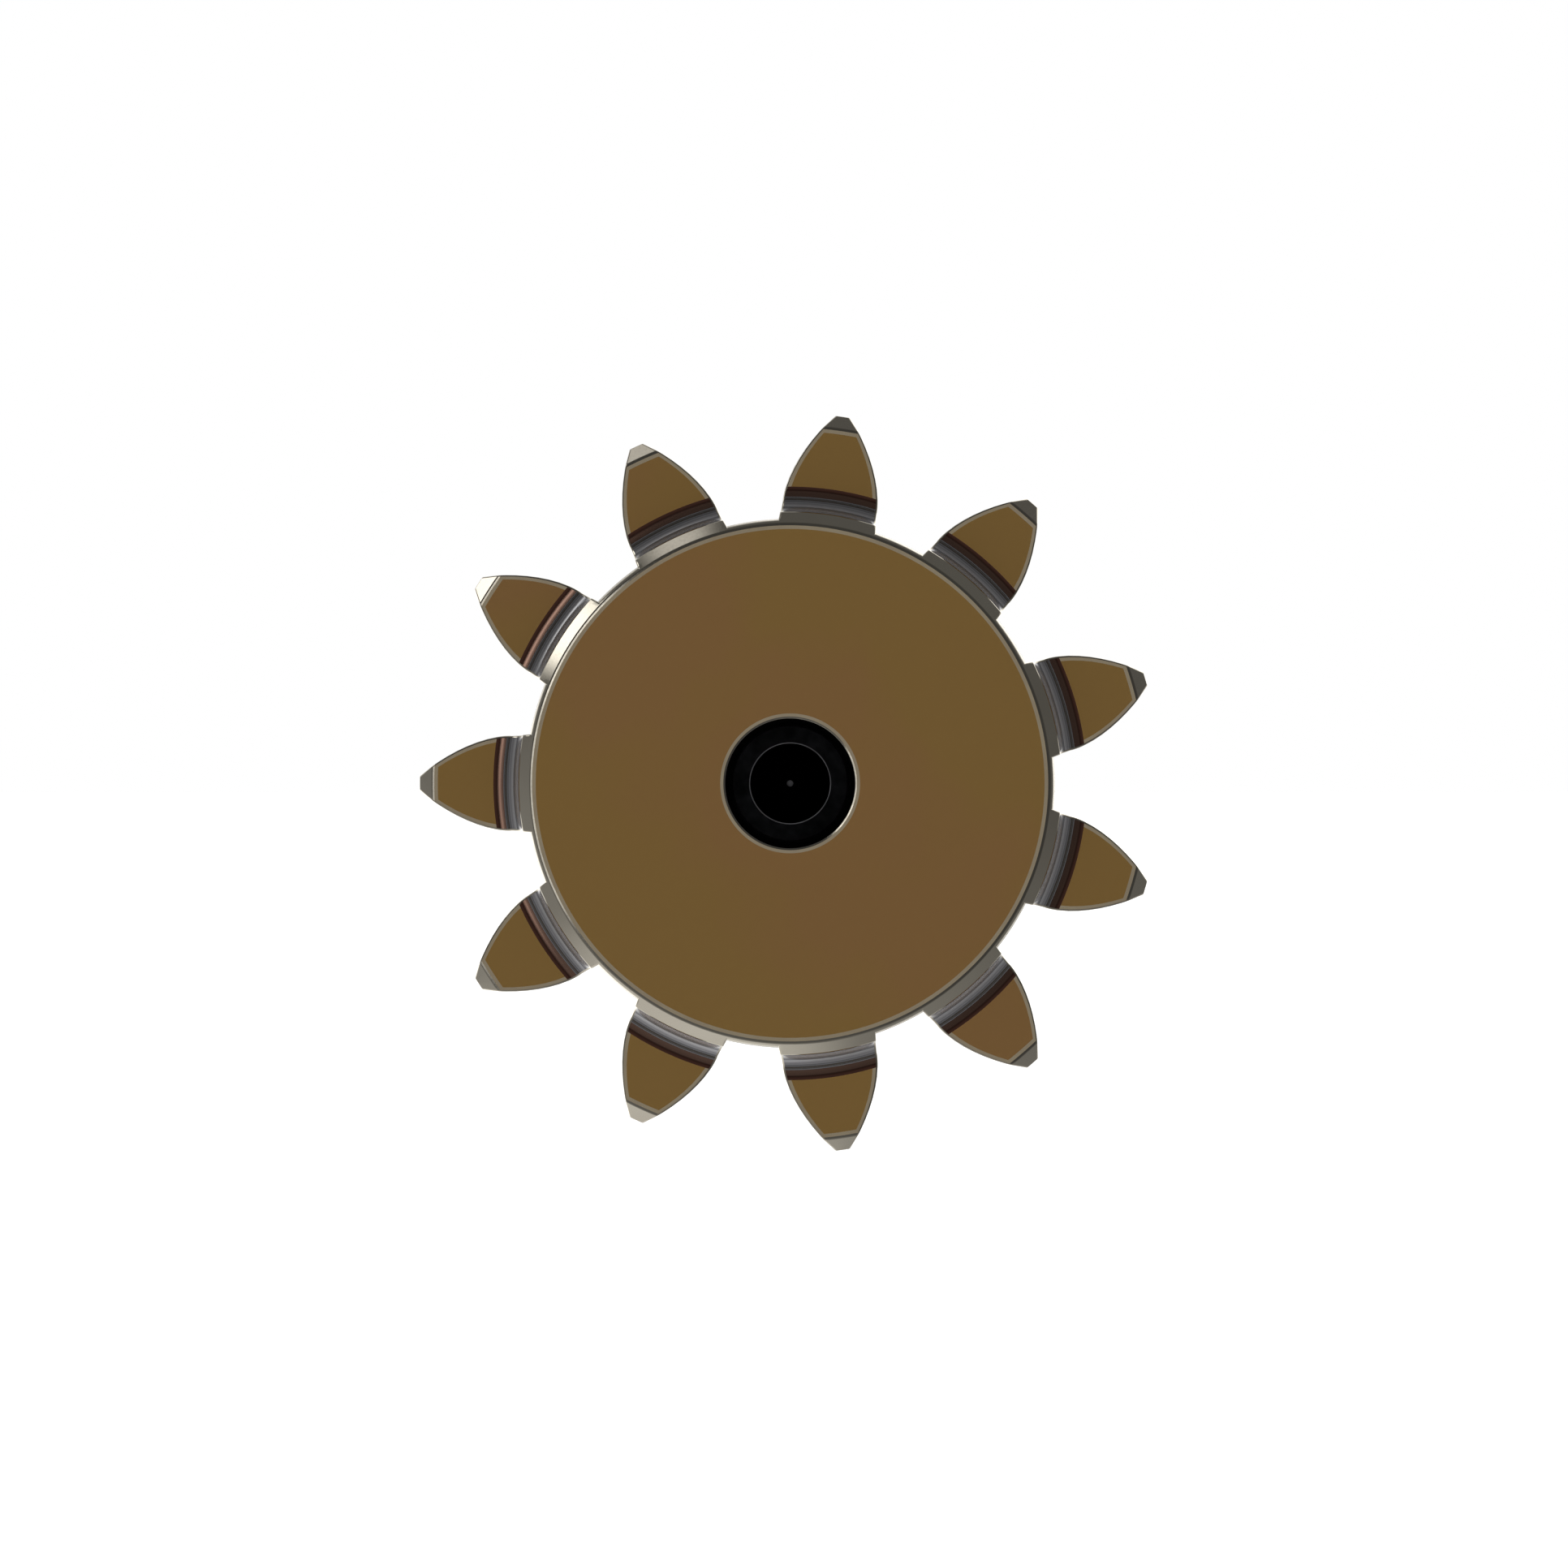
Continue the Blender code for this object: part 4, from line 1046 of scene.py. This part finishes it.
def make_carrier():
    """Carrier plate with its flatted hole and three press holes."""
    hole, flat = 9.1, 7.6
    corner = math.degrees(math.asin(flat / hole))
    spigot = (arc((0.0, 0.0), hole, -corner, corner, 25)
              + arc((0.0, 0.0), hole, 180.0 - corner, 180.0 + corner, 25))
    holes = [round_outline(3.1, 48, polar(PLANET_CIRCLE, angle)) for angle in PLANET_ANGLES]
    add_prism("output", "carrier_plate", "carrier", round_outline(19.8, 144), [spigot] + holes,
              "ground_steel", 0.3)


# ==== bearings and what holds them ====
def groove(radius, land, middle, side):
    """Ball groove, from below; side is 1 outside the balls and -1 inside them."""
    reach = math.degrees(math.acos(abs(land - BALL_CIRCLE) / radius))
    points = arc((0.0, 0.0), radius, -reach, reach, 15)
    return [(BALL_CIRCLE + side * x, middle + y) for x, y in points]


def make_bearing(prefix):
    """Both rings of a ball bearing, its pocketed brass cage and its balls."""
    bottom, top = heights(prefix + "_bearing_outer")
    middle = (bottom + top) / 2
    outer = [(BEARING_OUTSIDE, top), (BEARING_OUTSIDE, bottom), (OUTER_LAND, bottom)]
    outer += groove(BALL_RADIUS + 0.4, OUTER_LAND, middle, 1.0) + [(OUTER_LAND, top)]
    inner = [(INNER_LAND, top)] + groove(BALL_RADIUS + 0.15, INNER_LAND, middle, -1.0)[::-1]
    inner += [(INNER_LAND, bottom), (BEARING_BORE, bottom), (BEARING_BORE, top)]
    for body, side, profile in (("housing", "outer", outer), ("output", "inner", inner)):
        add_turned(body, "%s_bearing_%s" % (prefix, side), "%s_%s_ring" % (prefix, side), profile,
                   "bearing_steel", 0.3)
    cage = turned(prefix + "_cage_ring", sleeve(15.1, 13.4, middle - 3.6, middle + 3.6), "brass", 0.2)
    pockets = bmesh.new()
    for index in range(BALLS):
        add_radial_rod(pockets, BALL_RADIUS + 0.4, index * 360.0 / BALLS, middle, 11.0, 18.0)
    carve(cage, link_mesh("pockets", pockets, []))
    finish_piece(cage, prefix + "_cage", [prefix + "_bearing_cage"], "brass")
    make_balls(prefix, middle)


def make_balls(prefix, middle):
    shape = bmesh.new()
    for index in range(BALLS):
        centre = Matrix.Translation(place(BALL_CIRCLE, index * 360.0 / BALLS, middle))
        bmesh.ops.create_uvsphere(shape, u_segments=32, v_segments=16, radius=BALL_RADIUS * MM,
                                  matrix=centre)
    balls = link_mesh(prefix + "_balls", shape, [MATERIALS["bearing_steel"]])
    nodes = ["%s_bearing_ball_%d" % (prefix, index + 1) for index in range(BALLS)]
    finish_piece(balls, prefix + "_cage", nodes, "bearing_steel")


def make_spacers():
    """Sleeves between the bearings, the sun's washer, both circlips and the pinion's key."""
    sleeves = (("housing", "outer_spacer", BEARING_OUTSIDE, OUTER_LAND, "ground_steel"),
               ("output", "inner_spacer", INNER_LAND, BEARING_BORE, "ground_steel"),
               ("output", "sun_thrust_washer", 6.17, 4.2, "bronze"))
    for body, node, outer, inner, slot in sleeves:
        add_turned(body, node, "fine_" + node, sleeve(outer, inner, *heights(node)), slot, 0.2)
    clips = (("housing", "housing_circlip", open_ring(OUTER_LAND, 19.35, 40.0, 270.0, 96)),
             ("output", "shaft_circlip", open_ring(9.55, INNER_LAND, 60.0, 90.0, 96)))
    for body, node, outline in clips:
        add_prism(body, node, "fine_" + node, outline, [], "spring_steel", 0.12)
    key = [(-2.5, 5.1), (2.5, 5.1), (2.5, 10.1), (-2.5, 10.1)]
    add_prism("output", "pinion_key", "fine_key", key, [], "ground_steel", 0.25)


# ==== light and camera ====
KEY_LIGHTS = ((140.0, 2.2), (156.0, 2.2), (172.0, 1.4), (188.0, 1.2), (204.0, 1.2))
GLOWS = (
    # angle round the gear axis, angle from its front end, full and faded half widths, strength
    (0.0, 0.0, 15.0, 22.0, 0.37),          # broad panel behind the camera
    # row of key lights round its upper left
    *((angle, 34.0, 1.0, 6.0, strength) for angle, strength in KEY_LIGHTS),
    (145.0, 100.0, 4.0, 12.0, 2.6),        # upper left, beside the pinion
    (115.0, 100.0, 1.0, 10.0, 0.8),
    (247.0, 104.0, 2.0, 40.0, 0.55),       # lower left
    (238.0, 100.0, 25.0, 95.0, 0.19),
    (320.0, 95.0, 10.0, 40.0, 0.05),
    (200.0, 142.0, 10.0, 32.0, 1.2),       # rear left
    (40.0, 146.0, 12.0, 40.0, 1.3),        # rear right
    (90.0, 180.0, 25.0, 72.0, 1.0),        # behind the unit
)


def glow(tree, azimuth, off_axis, inner, outer, strength):
    """Brightness that falls from strength to nothing between two angles from a direction."""
    source = tree.nodes.new("ShaderNodeTexCoord")
    turn, tilt = math.radians(azimuth), math.radians(off_axis)
    x, z = math.sin(tilt) * math.cos(turn), math.sin(tilt) * math.sin(turn)
    towards = along(tree, source.outputs["Generated"], (x, -math.cos(tilt), z))
    start, end = math.cos(math.radians(outer)), math.cos(math.radians(inner))
    result = mapped(tree, towards, 0.0, strength, start, end)
    result.node.interpolation_type = "SMOOTHSTEP"
    return result


def dimmed_front(tree):
    """Even light, dimmer all round the front so that hollows there look dark."""
    source = tree.nodes.new("ShaderNodeTexCoord")
    return mapped(tree, component(tree, source.outputs["Generated"], "Y"), 0.075, 0.15, -0.6, 0.05)


def light_for(tree, ray, chosen, other):
    """The chosen background for one kind of ray, and the other for the rest."""
    path = tree.nodes.new("ShaderNodeLightPath")
    mix = tree.nodes.new("ShaderNodeMixShader")
    tree.links.new(path.outputs[ray], mix.inputs["Fac"])
    tree.links.new(other, mix.inputs[1])
    tree.links.new(chosen, mix.inputs[2])
    return mix.outputs["Shader"]


def make_world():
    """White to the camera, even on dull surfaces, and soft lamps in a dim studio in the metal."""
    world = bpy.data.worlds.new("studio")
    bpy.context.scene.world = world
    world.use_nodes = True
    tree = world.node_tree
    total = dimmed_front(tree)
    for lamp in GLOWS:
        total = added(tree, total, glow(tree, *lamp))
    studio = new_node(tree, "Background", {})
    tree.links.new(total, studio.inputs["Strength"])
    even = new_node(tree, "Background", {"Strength": 0.52})
    white = tree.nodes["Background"]
    set_inputs(white, {"Color": (1.0, 1.0, 1.0, 1.0), "Strength": 1.0})
    lit = light_for(tree, "Is Diffuse Ray", even.outputs["Background"], studio.outputs["Background"])
    seen = light_for(tree, "Is Camera Ray", white.outputs["Background"], lit)
    tree.links.new(seen, tree.nodes["World Output"].inputs["Surface"])


def make_floor():
    """Pale floor below the unit; the metal doesn't reflect it and it casts no shadow."""
    _, shader = new_material("floor", (0.9, 0.9, 0.9), 0.0, 0.9)
    set_inputs(shader, {"Emission Color": (1.0, 1.0, 1.0, 1.0), "Emission Strength": 0.72})
    shape = bmesh.new()
    bmesh.ops.create_grid(shape, x_segments=4, y_segments=4, size=30.0)
    for vertex in shape.verts:
        vertex.co.z -= 0.15
    floor = link_mesh("floor", shape, [MATERIALS["floor"]])
    floor.visible_glossy = False
    floor.visible_shadow = False


def make_camera():
    """Looks straight along the gear axis at the pinion's end."""
    camera = add_object("camera", bpy.data.cameras.new("camera"))
    camera.location = (0.0, -0.2528, 0.0)
    camera.rotation_euler = (math.radians(90.0), 0.0, 0.0)
    camera.data.sensor_width = 36.0
    camera.data.lens = 43.45
    camera.data.shift_x = -0.0039
    camera.data.shift_y = -0.0004
    camera.data.clip_start = 0.01
    camera.data.clip_end = 100.0
    bpy.context.scene.camera = camera


make_camera()
make_world()
make_floor()
bpy.context.scene.view_settings.view_transform = "Standard"
make_pinion()
make_shaft()
make_nose()
make_seal()
make_rear_flange()
make_case_screws()
make_ring_gear()
make_sun()
make_grub_screw()
for index, planet_angle in enumerate(PLANET_ANGLES):
    make_planet(index + 1, planet_angle)
make_carrier()
for name in ("front", "rear"):
    make_bearing(name)
make_spacers()
